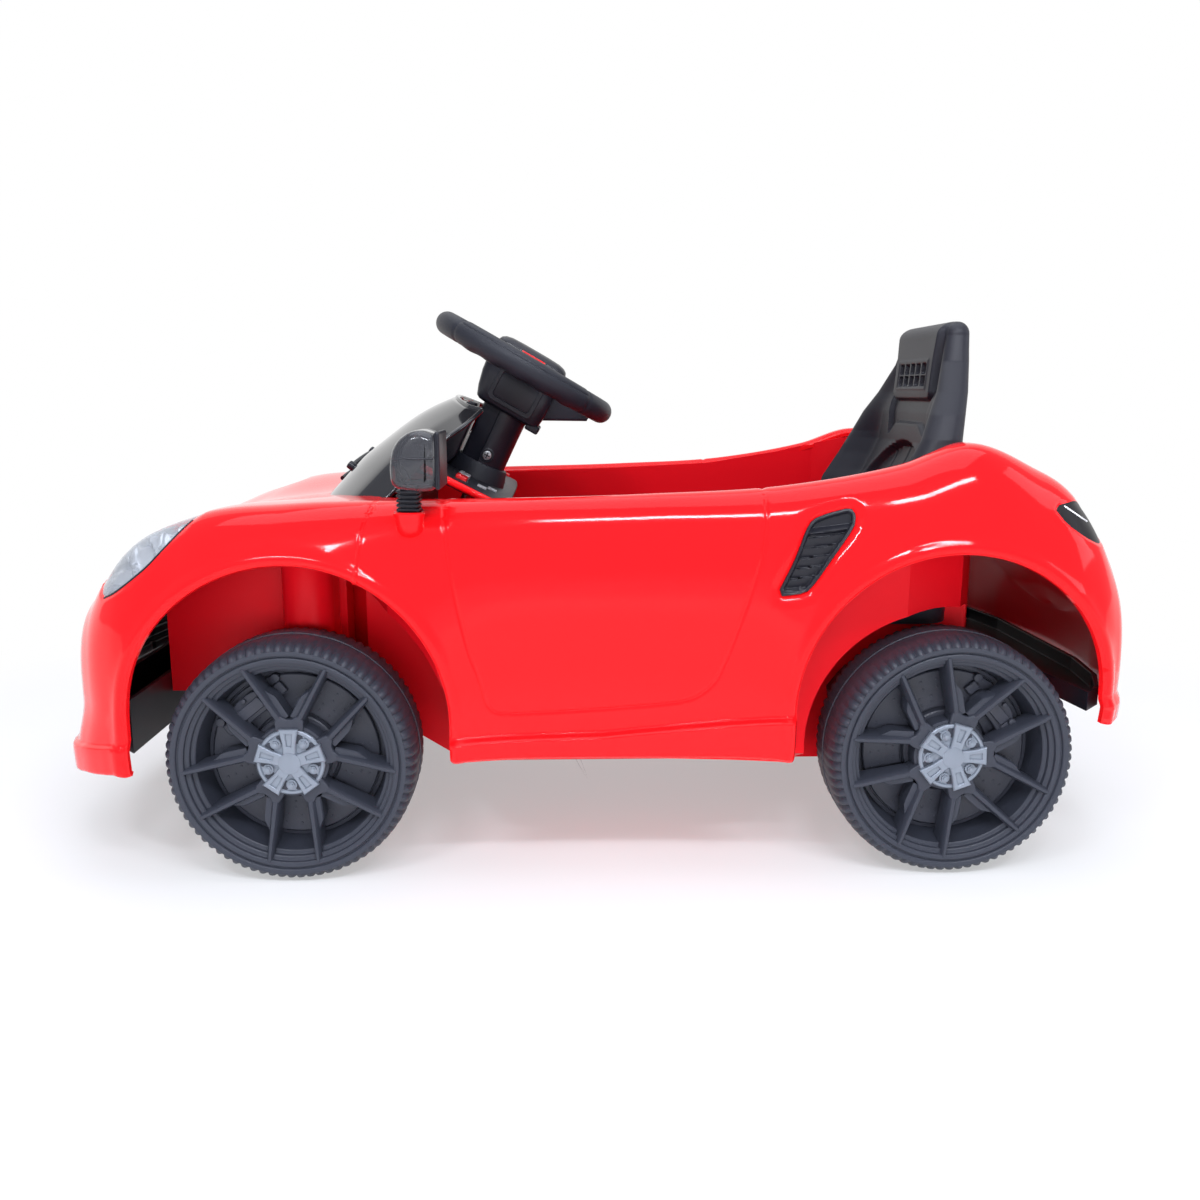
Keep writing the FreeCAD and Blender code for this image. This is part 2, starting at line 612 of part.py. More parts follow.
# Steering wheel, column and linkage.
ring = doc.addObject("Part::Torus", "ring")
bind(ring, "Radius1", d.rim_ring_dia / 2)
bind(ring, "Radius2", d.rim_grip_dia / 2)
hub_half = dim(38)
hub_x = (-dim(37), dim(42))
hub_low = -dim(50)
reach = d.rim_ring_dia / 2 - 4
spoke_left = box("spoke_left", both(13), (-reach, -hub_half), (-9, 5))
spoke_right = box("spoke_right", both(13), (hub_half, reach), (-9, 5))
spoke_low = prism("spoke_low", "XZ", [(hub_x[1], 3), (reach, 3), (reach, -14), (hub_x[1], -38)], both(15))
horn_y = hub_half + 22
horn_wells = [rod(f"horn_well_{i}", "z", (0, y), 7 + gap, (-5, 20)) for i, y in enumerate((-horn_y, horn_y))]
piece(on_wheel("steering_rim", cut("rim_shape", fuse("rim_solid", ring, spoke_left, spoke_right, spoke_low),
                                  *horn_wells)))
for side, y in (("left", -horn_y), ("right", horn_y)):
    piece(on_wheel(f"horn_button_{side}", rod(f"horn_cap_{side}", "z", (0, y), 7, (-2.2, 8))))
rod_top = -dim(24)
hub_box = rounded("hub_round", box("hub_block", hub_x, both(hub_half), (hub_low, -9)), 8, (1, 3, 5, 7))
hub_bore = steered("hub_bore", rod("hub_bore_bar", "z", (0, 0), axle_r, (-70, rod_top)))
piece(cut("steering_hub", on_wheel("hub_set", hub_box), hub_bore))
pad_top = rounded("pad_round", box("pad_block", (-36, 42), both(40), (5 + gap, 21)), 6, (1, 3, 5, 7))
piece(on_wheel("horn_pad", fuse("pad_shape", pad_top, box("pad_root", (-30, 32), both(35), (-9, 12)))))
bolt_z = -dim(99)
bolt_r = dim(3)
sleeve_low, sleeve_top = -dim(112), -dim(52.2)
bolt_bore = rod("bolt_bore", "y", (0, bolt_z), bolt_r, both(30))
piece(steered("column_sleeve", cut("sleeve_shape", rod("sleeve_bar", "z", (0, 0), sleeve_r, (sleeve_low, sleeve_top)),
                                   rod("sleeve_bore", "z", (0, 0), axle_r, (-130, -40)), bolt_bore)))
piece(steered("column_bolt", fuse("bolt_shape", rod("bolt_shank", "y", (0, bolt_z), bolt_r,
                                                    (-sleeve_r - 1, sleeve_r - 0.5)),
                                  rod("bolt_head", "y", (0, bolt_z), bolt_r * 2, (-sleeve_r - 3, -sleeve_r)))))

# The crank turns twice the angle of the road wheels, so its throw follows from the arm.
throw = d.arm_length * (math.sin(math.radians(18)) / math.sin(math.radians(36)))
tie_x = front_x + d.arm_length
pin_z = ((tie_x - steer_x) - throw * math.cos(tilt)) / math.sin(tilt)
tie_z = d.steer_z - throw * math.sin(tilt) + pin_z * math.cos(tilt)
crank_z = pin_z + 16
pin_r = dim(4)
piece(steered("steering_rod", cut("rod_shape", fuse(
    "rod_solid", rod("rod_bar", "z", (0, 0), axle_r, (crank_z, rod_top)),
    box("crank", (-dim(8), throw + 7), both(7), (crank_z - 4, crank_z + 4)),
    rod("crank_pin", "z", (throw, 0), pin_r, (pin_z - 14, crank_z))),
    rod("rod_bolt_bore", "y", (0, bolt_z), bolt_r, both(30)))))

bar_z = (tie_z - 2, tie_z + 2)
tie_solid = fuse("tie_solid", box("tie_bar", (tie_x - 7, tie_x + 7), both(d.kingpin_half + 9), bar_z),
                 box("tie_plate", (tie_x - 16, tie_x + 16), both(14), bar_z))
tie_holes = [rod(f"tie_hole_{i}", "z", (tie_x, y), pin_r + d.run_gap, (bar_z[0] - 1, bar_z[1] + 1))
             for i, y in enumerate((-d.kingpin_half, d.kingpin_half))]
piece(cut("tie_rod", tie_solid, *tie_holes,
          box("tie_slot", (tie_x - 9, tie_x + 9), both(5.3), (bar_z[0] - 1, bar_z[1] + 1))))

nut_y = (hub_y + 30.3, hub_y + 34.3)
stub_y = -d.kingpin_half
knuckle = piece(fuse(
    "knuckle_left",
    rod("kingpin", "z", (front_x, stub_y), axle_r, (tie_z + 5, carrier_z[0] + 50)),
    rod("thrust_ring", "z", (front_x, stub_y), axle_r + 5, (axle_z + 4, carrier_z[0] - gap)),
    rod("stub_root", "y", (front_x, axle_z), axle_r + 4, (-(hub_y - 22 - gap), stub_y)),
    rod("stub", "y", (front_x, axle_z), axle_r, (-nut_y[1], stub_y)),
    box("steer_arm", (front_x - 9, tie_x + 8), (stub_y - 8, stub_y + 8), (tie_z + 5, tie_z + 13)),
    rod("arm_pin", "z", (tie_x, stub_y), pin_r, (tie_z - 6, tie_z + 6))))
piece(mirrored("knuckle_right", knuckle))


def nut(name, x):
    return cut(name, hexagon(name + "_hex", "y", (x, axle_z), axle_r + 4, (-nut_y[1], -nut_y[0])),
               rod(name + "_bore", "y", (x, axle_z), axle_r, (-nut_y[1] - 1, -nut_y[0] + 1)))


front_nut = piece(nut("axle_nut_front_left", front_x))
piece(mirrored("axle_nut_front_right", front_nut))

# Road wheels: two tyre halves, brake disc relief on the inner one, hub cap.
tyre_r, half_w, rim_r = d.wheel_dia / 2, d.wheel_width / 2, d.rim_dia / 2
tread = [(tyre_r, 20), (tyre_r - 1, 30), (tyre_r - 3.5, half_w - 3), (tyre_r - 7.5, half_w)]
face = [(rim_r + 1.5, half_w), (rim_r, half_w - 1), (rim_r - 2.5, half_w - 2), (rim_r - 8.5, half_w - 3),
        (rim_r - 8.5, half_w - 5), (rim_r - 12.5, half_w - 5), (rim_r - 14.5, 24)]
web_r = rim_r - 18.5
outer_profile = [(bore_r, 4), (bore_r, 30), (dim(18), 30), (dim(22), 28)] + face[::-1] + tread[::-1]
outer_profile += [(tyre_r, 0), (web_r, 0), (web_r, 14), (dim(22), 18), (dim(18), 4)]
inner_profile = [(bore_r, -22), (bore_r, 4), (dim(18), 4), (dim(22), -8), (web_r, -8), (web_r, 0), (tyre_r, 0)]
inner_profile += [(r, -dim(s)) for r, s in tread]
inner_profile += [(rim_r, -half_w), (rim_r - 6, 4 - half_w), (rim_r - 14, 9 - half_w), (web_r, -14), (dim(30), -14),
                  (dim(30), -half_w), (dim(25), -half_w), (dim(25), -22)]


def outward(points):
    return [(r, -dim(s)) for r, s in points]


def polar(radius, degrees):
    return (dim(radius) * math.sin(math.radians(degrees)), dim(radius) * math.cos(math.radians(degrees)))


wheel_outer = lathe("wheel_outer", outward(outer_profile))
windows(wheel_outer, "fork", [(0, 41)] + [polar(web_r - 1, a) for a in (17.5, 9, 0, -9, -17.5)], 5)
windows(wheel_outer, "gap", [polar(34, 50), polar(34, 36), polar(34, 22)]
        + [polar(web_r - 1, a) for a in (24.5, 30, 36, 42, 47.5)], 5)
caliper = prism("caliper", "XZ", [polar(48, -63), polar(48, -15), polar(74, -15), polar(76, -39), polar(74, -63)], (-5, 9))
wheel_inner = fuse("wheel_inner", lathe("wheel_inner_turned", outward(inner_profile)), caliper)
cap_r = d.hub_cap_dia / 2
hub_cap = lathe("hub_cap", outward([(0, 35.2), (12, 35.2), (22.5, 31.5), (22.5, 28.4), (cap_r, 28.4), (cap_r, 30.5),
                                    (cap_r - 4, 34), (14, 37.5), (0, 38)]))
windows(hub_cap, "lug_gap", [polar(cap_r - 8, 50), polar(cap_r - 9.5, 36), polar(cap_r - 8, 22),
                             polar(cap_r + 2, 25), polar(cap_r + 3, 36), polar(cap_r + 2, 47)], 5)
half_turn = FreeCAD.Rotation(V(0, 0, 1), 180)
rear_turn = FreeCAD.Rotation(V(0, 1, 0), 88)
dog = lathe("dog", outward([(bore_r, gap - half_w - 4), (24.7, gap - half_w - 4), (24.7, -22 - gap), (bore_r, -22 - gap)]))
windows(dog, "dog_gap", [polar(20, 12), polar(20, -12), polar(27, -10), polar(27, 10)], 8)
for end, x in (("front", front_x), ("rear", rear_x)):
    spin = rear_turn if end == "rear" else FreeCAD.Rotation()
    for side, sign, turn in (("left", -1, spin), ("right", 1, half_turn.multiply(spin))):
        parts = [("wheel_outer", wheel_outer), ("wheel_inner", wheel_inner), ("hub_cap", hub_cap)]
        if end == "rear":
            parts.append(("drive_dog", dog))
        for kind, source in parts:
            name = f"{kind}_{end}_{side}" if kind != "drive_dog" else f"drive_dog_{side}"
            piece(place(group(name, source), x, sign * hub_y, axle_z, turn))

# Rear axle, drive units and battery.
piece(rod("rear_axle", "y", (rear_x, axle_z), axle_r, both(nut_y[1])))
rear_nut = nut("rear_nut", rear_x)
piece(group("rear_axle_nuts", rear_nut, mirrored("rear_nut_right", rear_nut)))
case = [(40, -8), (34, 24), (12, 40), (-70, 56), (-88, 34), (-84, 8), (-30, -34), (10, -40), (32, -26)]
gearbox = piece(cut("gearbox_left", prism("gearbox_case", "XZ", [(rear_x + x, axle_z + z) for x, z in case],
                                          (half_w - hub_y + 4, -d.bay_half - gap)),
                    rod("gearbox_bore", "y", (rear_x, axle_z), axle_r + gap, both(300))))
piece(mirrored("gearbox_right", gearbox))
motor = piece(rod("motor_left", "y", motor_at, d.motor_dia / 2, (-d.bay_half - gap, 62 - d.bay_half - gap)))
piece(mirrored("motor_right", motor))
battery_x = bay_front + w + 12
piece(box("battery", (battery_x, battery_x + d.battery_depth), both(d.battery_length / 2),
          (d.tub_floor + w + gap, d.tub_floor + w + gap + d.battery_height)))

# Pedal on its own pin between two lugs of the tub.
pedal_plate = prism("pedal_plate", "XZ", [(pedal_x + 4, pedal_z - 6), (pedal_x + 5, pedal_z + 6),
                                          (pedal_x - 60, pedal_z + 36), (pedal_x - 63, pedal_z + 30)], pedal_y)
piece(fuse("pedal", pedal_plate, rod("pedal_pin", "y", (pedal_x, pedal_z), 3, (pedal_y[0] - 5, pedal_y[1] + 5))))

# Seat: cushion on the deck, back narrowing to the headrest.
rx, seat_z = rear_x.value, d.seat_top.value
wide, head = d.seat_half.value, d.head_half.value
deck = d.deck_z.value


def seat_wire(z, front, back, half, radius):
    x0, x1 = rx + front, rx + back
    corners = [(x0, -half), (x1, -half), (x1, half), (x0, half)]
    edges, count = [], 4
    shape = Part.makePolygon([V(x, y, z) for x, y in corners + corners[:1]])
    face = Part.Face(Part.Wire(shape.Edges))
    block = face.extrude(V(0, 0, 10))
    upright = [e for e in block.Edges if abs(e.Vertexes[0].Z - e.Vertexes[-1].Z) > 5]
    soft = block.makeFillet(radius, upright)
    return min(soft.Faces, key=lambda f: f.CenterOfMass.z).OuterWire


seat_back = Part.makeLoft([seat_wire(deck + 44, -66, 40, wide, 38), seat_wire(deck + 136, -51, 40, wide, 36),
                           seat_wire(deck + 191, -18, 42, wide - 12, 28), seat_wire(seat_z - 90, -3, 46, head + 38, 22),
                           seat_wire(seat_z - 70, 9, 49, head + 27, 18), seat_wire(seat_z - 40, 22, 52, head + 12, 13),
                           seat_wire(seat_z - 10, 28, 54, head + 1, 12), seat_wire(seat_z, 33, 49, head - 8, 7)], True, True)
seat_solid = fuse("seat_solid", feature("seat_back", seat_back),
                  box("cushion", (bay_front - 15, rear_x + 42), both(d.bay_half - w - 1), (d.deck_z + gap, d.deck_z + 46)))
head_recess = box("head_recess", (rear_x - 20, rear_x + 28), both(44), (d.seat_top - 55, d.seat_top - 18))
piece(cut("seat", seat_solid, head_recess, *[rod(f"seat_bore_{i}", "z", (screw_x, y), 3.1, (d.deck_z - 30, d.deck_z + 90))
                                             for i, y in enumerate(seat_screw_ys)]))
screws = [fuse(f"seat_screw_{i}", rod(f"shank_{i}", "z", (screw_x, y), 3, (d.deck_z - 12, d.deck_z + 48)),
               rod(f"head_{i}", "z", (screw_x, y), 6, (d.deck_z + 46, d.deck_z + 49))) for i, y in enumerate(seat_screw_ys)]
piece(group("seat_screws", *screws))

# Mirrors on posts that turn in the sockets.
mirror_y = (-(d.mirror_half + d.mirror_width - 25), -(d.mirror_half - 25))
mirror_back = mirror_x + 28
shell_box = rounded("mirror_round", box("mirror_block", (mirror_x - 11, mirror_back), mirror_y,
                                        (d.mirror_z, d.mirror_z + 51)), 9, range(1, 13))
mirror = piece(cut("mirror_housing_left", fuse("mirror_solid", shell_box, rod(
    "mirror_post", "z", (mirror_x, -d.mirror_half), post_r, (d.mirror_z - 28, d.mirror_z + 6))),
    box("mirror_recess", (mirror_back - 4, mirror_back + 1), (mirror_y[0] + 8, mirror_y[1] - 8),
        (d.mirror_z + 8, d.mirror_z + 43))))
piece(mirrored("mirror_housing_right", mirror))
glass = piece(box("mirror_glass_left", (mirror_back - 4, mirror_back - 1), (mirror_y[0] + 8 + gap, mirror_y[1] - 8 - gap),
                  (d.mirror_z + 8 + gap, d.mirror_z + 43 - gap)))
piece(mirrored("mirror_glass_right", glass))

# Trays behind the nose and under the tail.
def tray(name, points, inset, span):
    full = points + other_side(points)
    hollow = [(x + dx, dim(y) + dy) for (x, y), (dx, dy) in zip(points, inset)]
    return cut(name, prism(name + "_block", "XY", full, span),
               prism(name + "_room", "XY", hollow + other_side(hollow), (span[0] + w, span[1] + 1)))


piece(tray("front_crossmember", [(carrier_x - gap, dim(222)), (front_x - 172, 196), (front_x - 189, 156),
                                 (front_x - 196, 100)],
           [(-4, -6), (-2, -5), (2, -5), (5, -3)], (d.nose_low + 31, d.nose_low + 81)))
piece(tray("rear_undertray", [(tub_rear + gap, dim(100)), (rear_x + 117, 150), (rear_x + 127, 230), (rear_x + 147, 210),
                              (rear_x + 167, 166), (rear_x + 179, 100)],
           [(5, -3), (4, -3), (4, -5), (-2, -5), (-4, -4), (-5, -3)], (d.tail_low + 8, d.tail_low + 26)))

doc.recompute()
troubles = [o.Name for o in doc.Objects if "Invalid" in o.State or "Error" in o.State]
for obj in pieces:
    shape = obj.Shape
    if shape.isNull() or not shape.isValid() or not shape.Solids:
        troubles.append(obj.Label)
if troubles:
    raise RuntimeError("bad shapes: " + ", ".join(troubles))
os.makedirs("parts", exist_ok=True)
for obj in pieces:
    obj.Shape.exportStep(f"parts/{obj.Label}.step")
print(len(pieces), "parts written")
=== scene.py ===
import json
import math

import bmesh
import bpy
import numpy as np
from mathutils import Matrix, Vector
from mathutils.geometry import delaunay_2d_cdt


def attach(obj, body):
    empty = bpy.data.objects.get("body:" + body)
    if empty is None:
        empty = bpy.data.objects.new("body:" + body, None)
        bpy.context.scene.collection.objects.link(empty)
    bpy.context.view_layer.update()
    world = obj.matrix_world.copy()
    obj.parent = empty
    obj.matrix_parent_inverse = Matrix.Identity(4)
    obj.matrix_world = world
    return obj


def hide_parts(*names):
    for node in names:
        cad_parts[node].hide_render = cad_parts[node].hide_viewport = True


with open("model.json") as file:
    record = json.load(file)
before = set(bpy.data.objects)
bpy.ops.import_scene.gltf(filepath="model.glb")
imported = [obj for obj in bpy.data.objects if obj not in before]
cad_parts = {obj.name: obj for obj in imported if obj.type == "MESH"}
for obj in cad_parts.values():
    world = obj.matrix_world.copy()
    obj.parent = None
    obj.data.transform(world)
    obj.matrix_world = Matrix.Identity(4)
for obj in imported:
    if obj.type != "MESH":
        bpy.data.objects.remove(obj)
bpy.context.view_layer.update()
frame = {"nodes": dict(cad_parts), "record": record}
print("frame loaded:", len(frame["nodes"]), "nodes")

# Points below are in millimetres, in the frame of the CAD part.
mm = 0.001
# X of the frame, in millimetres, where the drawing's own zero lies.
drawnAt = 5.5


# Shapes are pairs of points and faces.
def joined(*shapes):
    points, faces, start = [], [], 0
    for shapePoints, shapeFaces in shapes:
        points.append(np.asarray(shapePoints, float))
        faces += [tuple(int(i) + start for i in face) for face in shapeFaces]
        start += len(shapePoints)
    return np.vstack(points), faces


def moved(shape, matrix):
    points, faces = shape
    grid = np.array(matrix)
    return np.asarray(points, float) @ grid[:3, :3].T + grid[:3, 3], faces


def mirroredY(shape):
    points, faces = shape
    return np.asarray(points, float) * np.array((1, -1, 1)), [tuple(face[::-1]) for face in faces]


# Pieces that come in pairs are drawn for the left side, which is -Y.
bothHands = (("left", lambda shape: shape), ("right", mirroredY))


def gridShape(rows, closeU=False, closeV=False):
    rows = np.asarray(rows, float)
    nu, nv = rows.shape[:2]
    faces = []
    for i in range(nu if closeU else nu - 1):
        for j in range(nv if closeV else nv - 1):
            here, ahead, beside = i * nv, (i + 1) % nu * nv, (j + 1) % nv
            faces.append((here + j, here + beside, ahead + beside, ahead + j))
    return rows.reshape(-1, 3), faces


def loftShape(rings, capStart=True, capEnd=True):
    points, faces = gridShape(rings, closeV=True)
    count, size = len(rings), len(rings[0])
    if capStart:
        faces.append(tuple(range(size))[::-1])
    if capEnd:
        faces.append(tuple(range((count - 1) * size, count * size)))
    return points, faces


def turnedShape(profile, steps):
    # Profile of (radius, height) about the local Z axis.
    angles = np.linspace(0, 2 * math.pi, steps, endpoint=False)
    profile = np.asarray(profile, float)
    rings = np.zeros((steps, len(profile), 3))
    rings[:, :, 0] = np.cos(angles)[:, None] * profile[None, :, 0]
    rings[:, :, 1] = np.sin(angles)[:, None] * profile[None, :, 0]
    rings[:, :, 2] = profile[None, :, 1]
    return gridShape(rings, closeU=True, closeV=True)


def loopTurn(outline):
    # Twice the area, positive where the loop runs counterclockwise.
    ahead = np.roll(outline, -1, 0)
    return np.sum(outline[:, 0] * ahead[:, 1] - outline[:, 1] * ahead[:, 0])


def insetLoop(outline, amount):
    outline = np.asarray(outline, float)
    ahead, behind = np.roll(outline, -1, 0) - outline, outline - np.roll(outline, 1, 0)
    ahead /= np.linalg.norm(ahead, axis=1)[:, None] + 1e-9
    behind /= np.linalg.norm(behind, axis=1)[:, None] + 1e-9
    normal = np.stack((-(ahead + behind)[:, 1], (ahead + behind)[:, 0]), 1)
    normal /= np.linalg.norm(normal, axis=1)[:, None] + 1e-9
    side = np.stack((-behind[:, 1], behind[:, 0]), 1)
    stretch = np.clip(np.sum(side * normal, 1), 0.5, 1)
    return outline + normal * (amount / stretch)[:, None] * (1 if loopTurn(outline) > 0 else -1)


def slab(outline, low, high, edge, steps=3):
    # Plate between two heights with rounded rims.
    outline = np.asarray(outline, float)
    if loopTurn(outline) < 0:
        outline = outline[::-1]
    rings = []
    for k in range(steps + 1):
        angle = math.pi / 2 * k / steps
        loop = insetLoop(outline, edge * (1 - math.sin(angle)))
        rings.append(np.c_[loop, np.full(len(loop), low + edge * (1 - math.cos(angle)))])
    for k in range(steps + 1):
        angle = math.pi / 2 * k / steps
        loop = insetLoop(outline, edge * (1 - math.cos(angle)))
        rings.append(np.c_[loop, np.full(len(loop), high - edge * (1 - math.sin(angle)))])
    return loftShape(rings)


def roundedRect(x0, x1, y0, y1, radius, steps=5):
    points = []
    for cx, cy, start in ((x1 - radius, y1 - radius, 0), (x0 + radius, y1 - radius, 90),
                          (x0 + radius, y0 + radius, 180), (x1 - radius, y0 + radius, 270)):
        for k in range(steps + 1):
            angle = math.radians(start + 90 * k / steps)
            points.append((cx + radius * math.cos(angle), cy + radius * math.sin(angle)))
    return np.array(points)


def softBox(x, y, z, edge, corner=None):
    return slab(roundedRect(x[0], x[1], y[0], y[1], corner if corner else edge * 1.2), z[0], z[1], edge)


def disc(radius, low, high, edge, sides=32, at=(0, 0)):
    angles = np.linspace(0, 2 * math.pi, sides, endpoint=False)
    loop = np.stack((at[0] + radius * np.cos(angles), at[1] + radius * np.sin(angles)), 1)
    return slab(loop, low, high, edge, 2)


def tubeShape(path, radius, sides=12):
    path = np.asarray(path, float)
    along = np.gradient(path, axis=0)
    along /= np.linalg.norm(along, axis=1)[:, None]
    guide = np.array((0.0, 0.0, 1.0)) if abs(along[0][2]) < 0.9 else np.array((1.0, 0.0, 0.0))
    rings = []
    for point, way in zip(path, along):
        side = np.cross(way, guide)
        side /= np.linalg.norm(side)
        up = np.cross(side, way)
        angles = np.linspace(0, 2 * math.pi, sides, endpoint=False)
        rings.append(point + radius * (np.cos(angles)[:, None] * side + np.sin(angles)[:, None] * up))
    return loftShape(rings)


def makeMesh(name, shape, look, sharp=34, normals=None):
    points, faces = shape
    mesh = bpy.data.meshes.new(name)
    mesh.from_pydata((np.asarray(points) * mm).tolist(), [], faces)
    mesh.validate()
    if normals is None:
        work = bmesh.new()
        work.from_mesh(mesh)
        bmesh.ops.recalc_face_normals(work, faces=work.faces)
        work.to_mesh(mesh)
        work.free()
    mesh.polygons.foreach_set("use_smooth", [True] * len(mesh.polygons))
    if normals is None:
        mesh.set_sharp_from_angle(angle=math.radians(sharp))
    else:
        mesh.normals_split_custom_set_from_vertices(normals.tolist())
    mesh.materials.append(look)
    return mesh


def addPiece(name, shape, look, body, nodes=(), sharp=34, normals=None):
    placed = (np.asarray(shape[0], float) + (drawnAt, 0, 0), shape[1])
    return placePiece(name, makeMesh(name, placed, look, sharp, normals), None, body, nodes)


def placePiece(name, mesh, matrix, body, nodes=()):
    obj = bpy.data.objects.new(name, mesh)
    bpy.context.scene.collection.objects.link(obj)
    if matrix is not None:
        obj.matrix_world = Matrix.Translation((drawnAt * mm, 0, 0)) @ matrix
        bpy.context.view_layer.update()
    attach(obj, body)
    if nodes:
        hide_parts(*nodes)
    return obj


# Materials share one group that gives a fine grain and a broad patchiness in object space.
def grainGroup():
    group = bpy.data.node_groups.new("surfaceField", "ShaderNodeTree")
    group.interface.new_socket("Fine", in_out="INPUT", socket_type="NodeSocketFloat")
    group.interface.new_socket("Broad", in_out="INPUT", socket_type="NodeSocketFloat")
    group.interface.new_socket("Grain", in_out="OUTPUT", socket_type="NodeSocketFloat")
    group.interface.new_socket("Patch", in_out="OUTPUT", socket_type="NodeSocketFloat")
    nodes, links = group.nodes, group.links
    start, end = nodes.new("NodeGroupInput"), nodes.new("NodeGroupOutput")
    place = nodes.new("ShaderNodeTexCoord")
    for field, result, detail in (("Fine", "Grain", 3.0), ("Broad", "Patch", 2.0)):
        noise = nodes.new("ShaderNodeTexNoise")
        noise.inputs["Detail"].default_value = detail
        links.new(place.outputs["Object"], noise.inputs["Vector"])
        links.new(start.outputs[field], noise.inputs["Scale"])
        links.new(noise.outputs["Fac"], end.inputs[result])
    return group


surfaceField = grainGroup()


def plastic(name, colour, rough, spread=0.05, grain=0.0, fine=900.0, broad=9.0, metal=0.0, coat=0.0, sheen=0.03,
            specular=0.5):
    look = bpy.data.materials.new(name)
    look.use_nodes = True
    nodes, links = look.node_tree.nodes, look.node_tree.links
    surface = nodes["Principled BSDF"]
    field = nodes.new("ShaderNodeGroup")
    field.node_tree = surfaceField
    field.inputs["Fine"].default_value = fine
    field.inputs["Broad"].default_value = broad
    surface.inputs["Metallic"].default_value = metal
    surface.inputs["Specular IOR Level"].default_value = specular
    surface.inputs["Coat Weight"].default_value = coat
    surface.inputs["Coat Roughness"].default_value = 0.06
    roughness = nodes.new("ShaderNodeMapRange")
    roughness.inputs["To Min"].default_value = max(rough - spread, 0.01)
    roughness.inputs["To Max"].default_value = rough + spread
    links.new(field.outputs["Patch"], roughness.inputs["Value"])
    links.new(roughness.outputs["Result"], surface.inputs["Roughness"])
    tint = nodes.new("ShaderNodeMixRGB")
    tint.inputs["Color1"].default_value = tuple(c * (1 - sheen) for c in colour) + (1,)
    tint.inputs["Color2"].default_value = tuple(min(c * (1 + sheen), 1) for c in colour) + (1,)
    links.new(field.outputs["Patch"], tint.inputs["Fac"])
    links.new(tint.outputs["Color"], surface.inputs["Base Color"])
    if grain:
        bump = nodes.new("ShaderNodeBump")
        bump.inputs["Strength"].default_value = grain
        bump.inputs["Distance"].default_value = 0.0004
        links.new(field.outputs["Grain"], bump.inputs["Height"])
        links.new(bump.outputs["Normal"], surface.inputs["Normal"])
    return look


def seeThrough(name, colour, clear, rough=0.04):
    # Glossy skin over a tinted see-through layer.
    look = bpy.data.materials.new(name)
    look.use_nodes = True
    nodes, links = look.node_tree.nodes, look.node_tree.links
    surface = nodes["Principled BSDF"]
    surface.inputs["Base Color"].default_value = tuple(colour) + (1,)
    surface.inputs["Roughness"].default_value = rough
    surface.inputs["Coat Weight"].default_value = 0.4
    field = nodes.new("ShaderNodeGroup")
    field.node_tree = surfaceField
    field.inputs["Fine"].default_value = 300.0
    field.inputs["Broad"].default_value = 14.0
    opacity = nodes.new("ShaderNodeMapRange")
    opacity.inputs["To Min"].default_value = max(1 - clear - 0.05, 0)
    opacity.inputs["To Max"].default_value = min(1 - clear + 0.05, 1)
    rim = nodes.new("ShaderNodeFresnel")
    rim.inputs["IOR"].default_value = 1.35
    total = nodes.new("ShaderNodeMath")
    total.operation = "ADD"
    total.use_clamp = True
    links.new(field.outputs["Patch"], opacity.inputs["Value"])
    links.new(opacity.outputs["Result"], total.inputs[0])
    links.new(rim.outputs["Fac"], total.inputs[1])
    links.new(total.outputs["Value"], surface.inputs["Alpha"])
    return look


redGloss = plastic("redGloss", (0.80, 0.006, 0.009), 0.07, 0.02, 0.015, 260.0, 5.0, sheen=0.02, specular=0.24)
# Inner red: the rougher finish is the shell's real inner side, and its base colour, darker than redGloss, is painted
# shade.
redInnerShaded = plastic("redInnerShaded", (0.68, 0.004, 0.010), 0.36, 0.05, 0.06, 500.0, 6.0, sheen=0.04, specular=0.12)
screenBlack = plastic("screenBlack", (0.012, 0.012, 0.014), 0.08, 0.03, 0.0, 300.0, 7.0, coat=0.35)
satinBlack = plastic("satinBlack", (0.010, 0.010, 0.015), 0.36, 0.06, 0.15, 1100.0, 10.0, specular=0.42)
grainBlack = plastic("grainBlack", (0.012, 0.013, 0.019), 0.48, 0.07, 0.5, 1500.0, 12.0, specular=0.4)
seatBlack = plastic("seatBlack", (0.014, 0.014, 0.020), 0.44, 0.07, 0.35, 1300.0, 8.0, specular=0.36)
wheelBlack = plastic("wheelBlack", (0.030, 0.033, 0.045), 0.46, 0.08, 0.3, 900.0, 11.0, specular=0.42)
darkDisc = plastic("darkDisc", (0.036, 0.038, 0.050), 0.44, 0.08, 0.3, 900.0, 20.0)
silverPaint = plastic("silverPaint", (0.25, 0.28, 0.33), 0.36, 0.06, 0.12, 1400.0, 14.0, metal=0.55)
platedBright = plastic("platedBright", (0.50, 0.53, 0.58), 0.22, 0.06, 0.05, 240.0, 25.0, metal=0.7)
steelGrey = plastic("steelGrey", (0.50, 0.50, 0.51), 0.34, 0.08, 0.1, 700.0, 18.0, metal=0.9)
redSwitch = plastic("redSwitch", (0.70, 0.012, 0.014), 0.30, 0.05)
# Black darker than satinBlack: painted shade for the recessed hub panels.
panelShadeBlack = plastic("panelShadeBlack", (0.004, 0.004, 0.006), 0.42, 0.05, 0.2, specular=0.25)
greySwitch = plastic("greySwitch", (0.30, 0.30, 0.31), 0.42, 0.05)
tailDark = plastic("tailDark", (0.010, 0.008, 0.009), 0.36, 0.05, specular=0.16)
paleLine = plastic("paleLine", (0.72, 0.70, 0.70), 0.22, 0.04)
driveGrey = plastic("driveGrey", (0.055, 0.055, 0.060), 0.5, 0.06, 0.2)
clearLens = seeThrough("clearLens", (0.86, 0.88, 0.90), 0.86)
smokeShell = seeThrough("smokeShell", (0.05, 0.05, 0.056), 0.40, 0.12)
mirrorFace = plastic("mirrorFace", (0.78, 0.80, 0.82), 0.05, 0.02, metal=1.0)
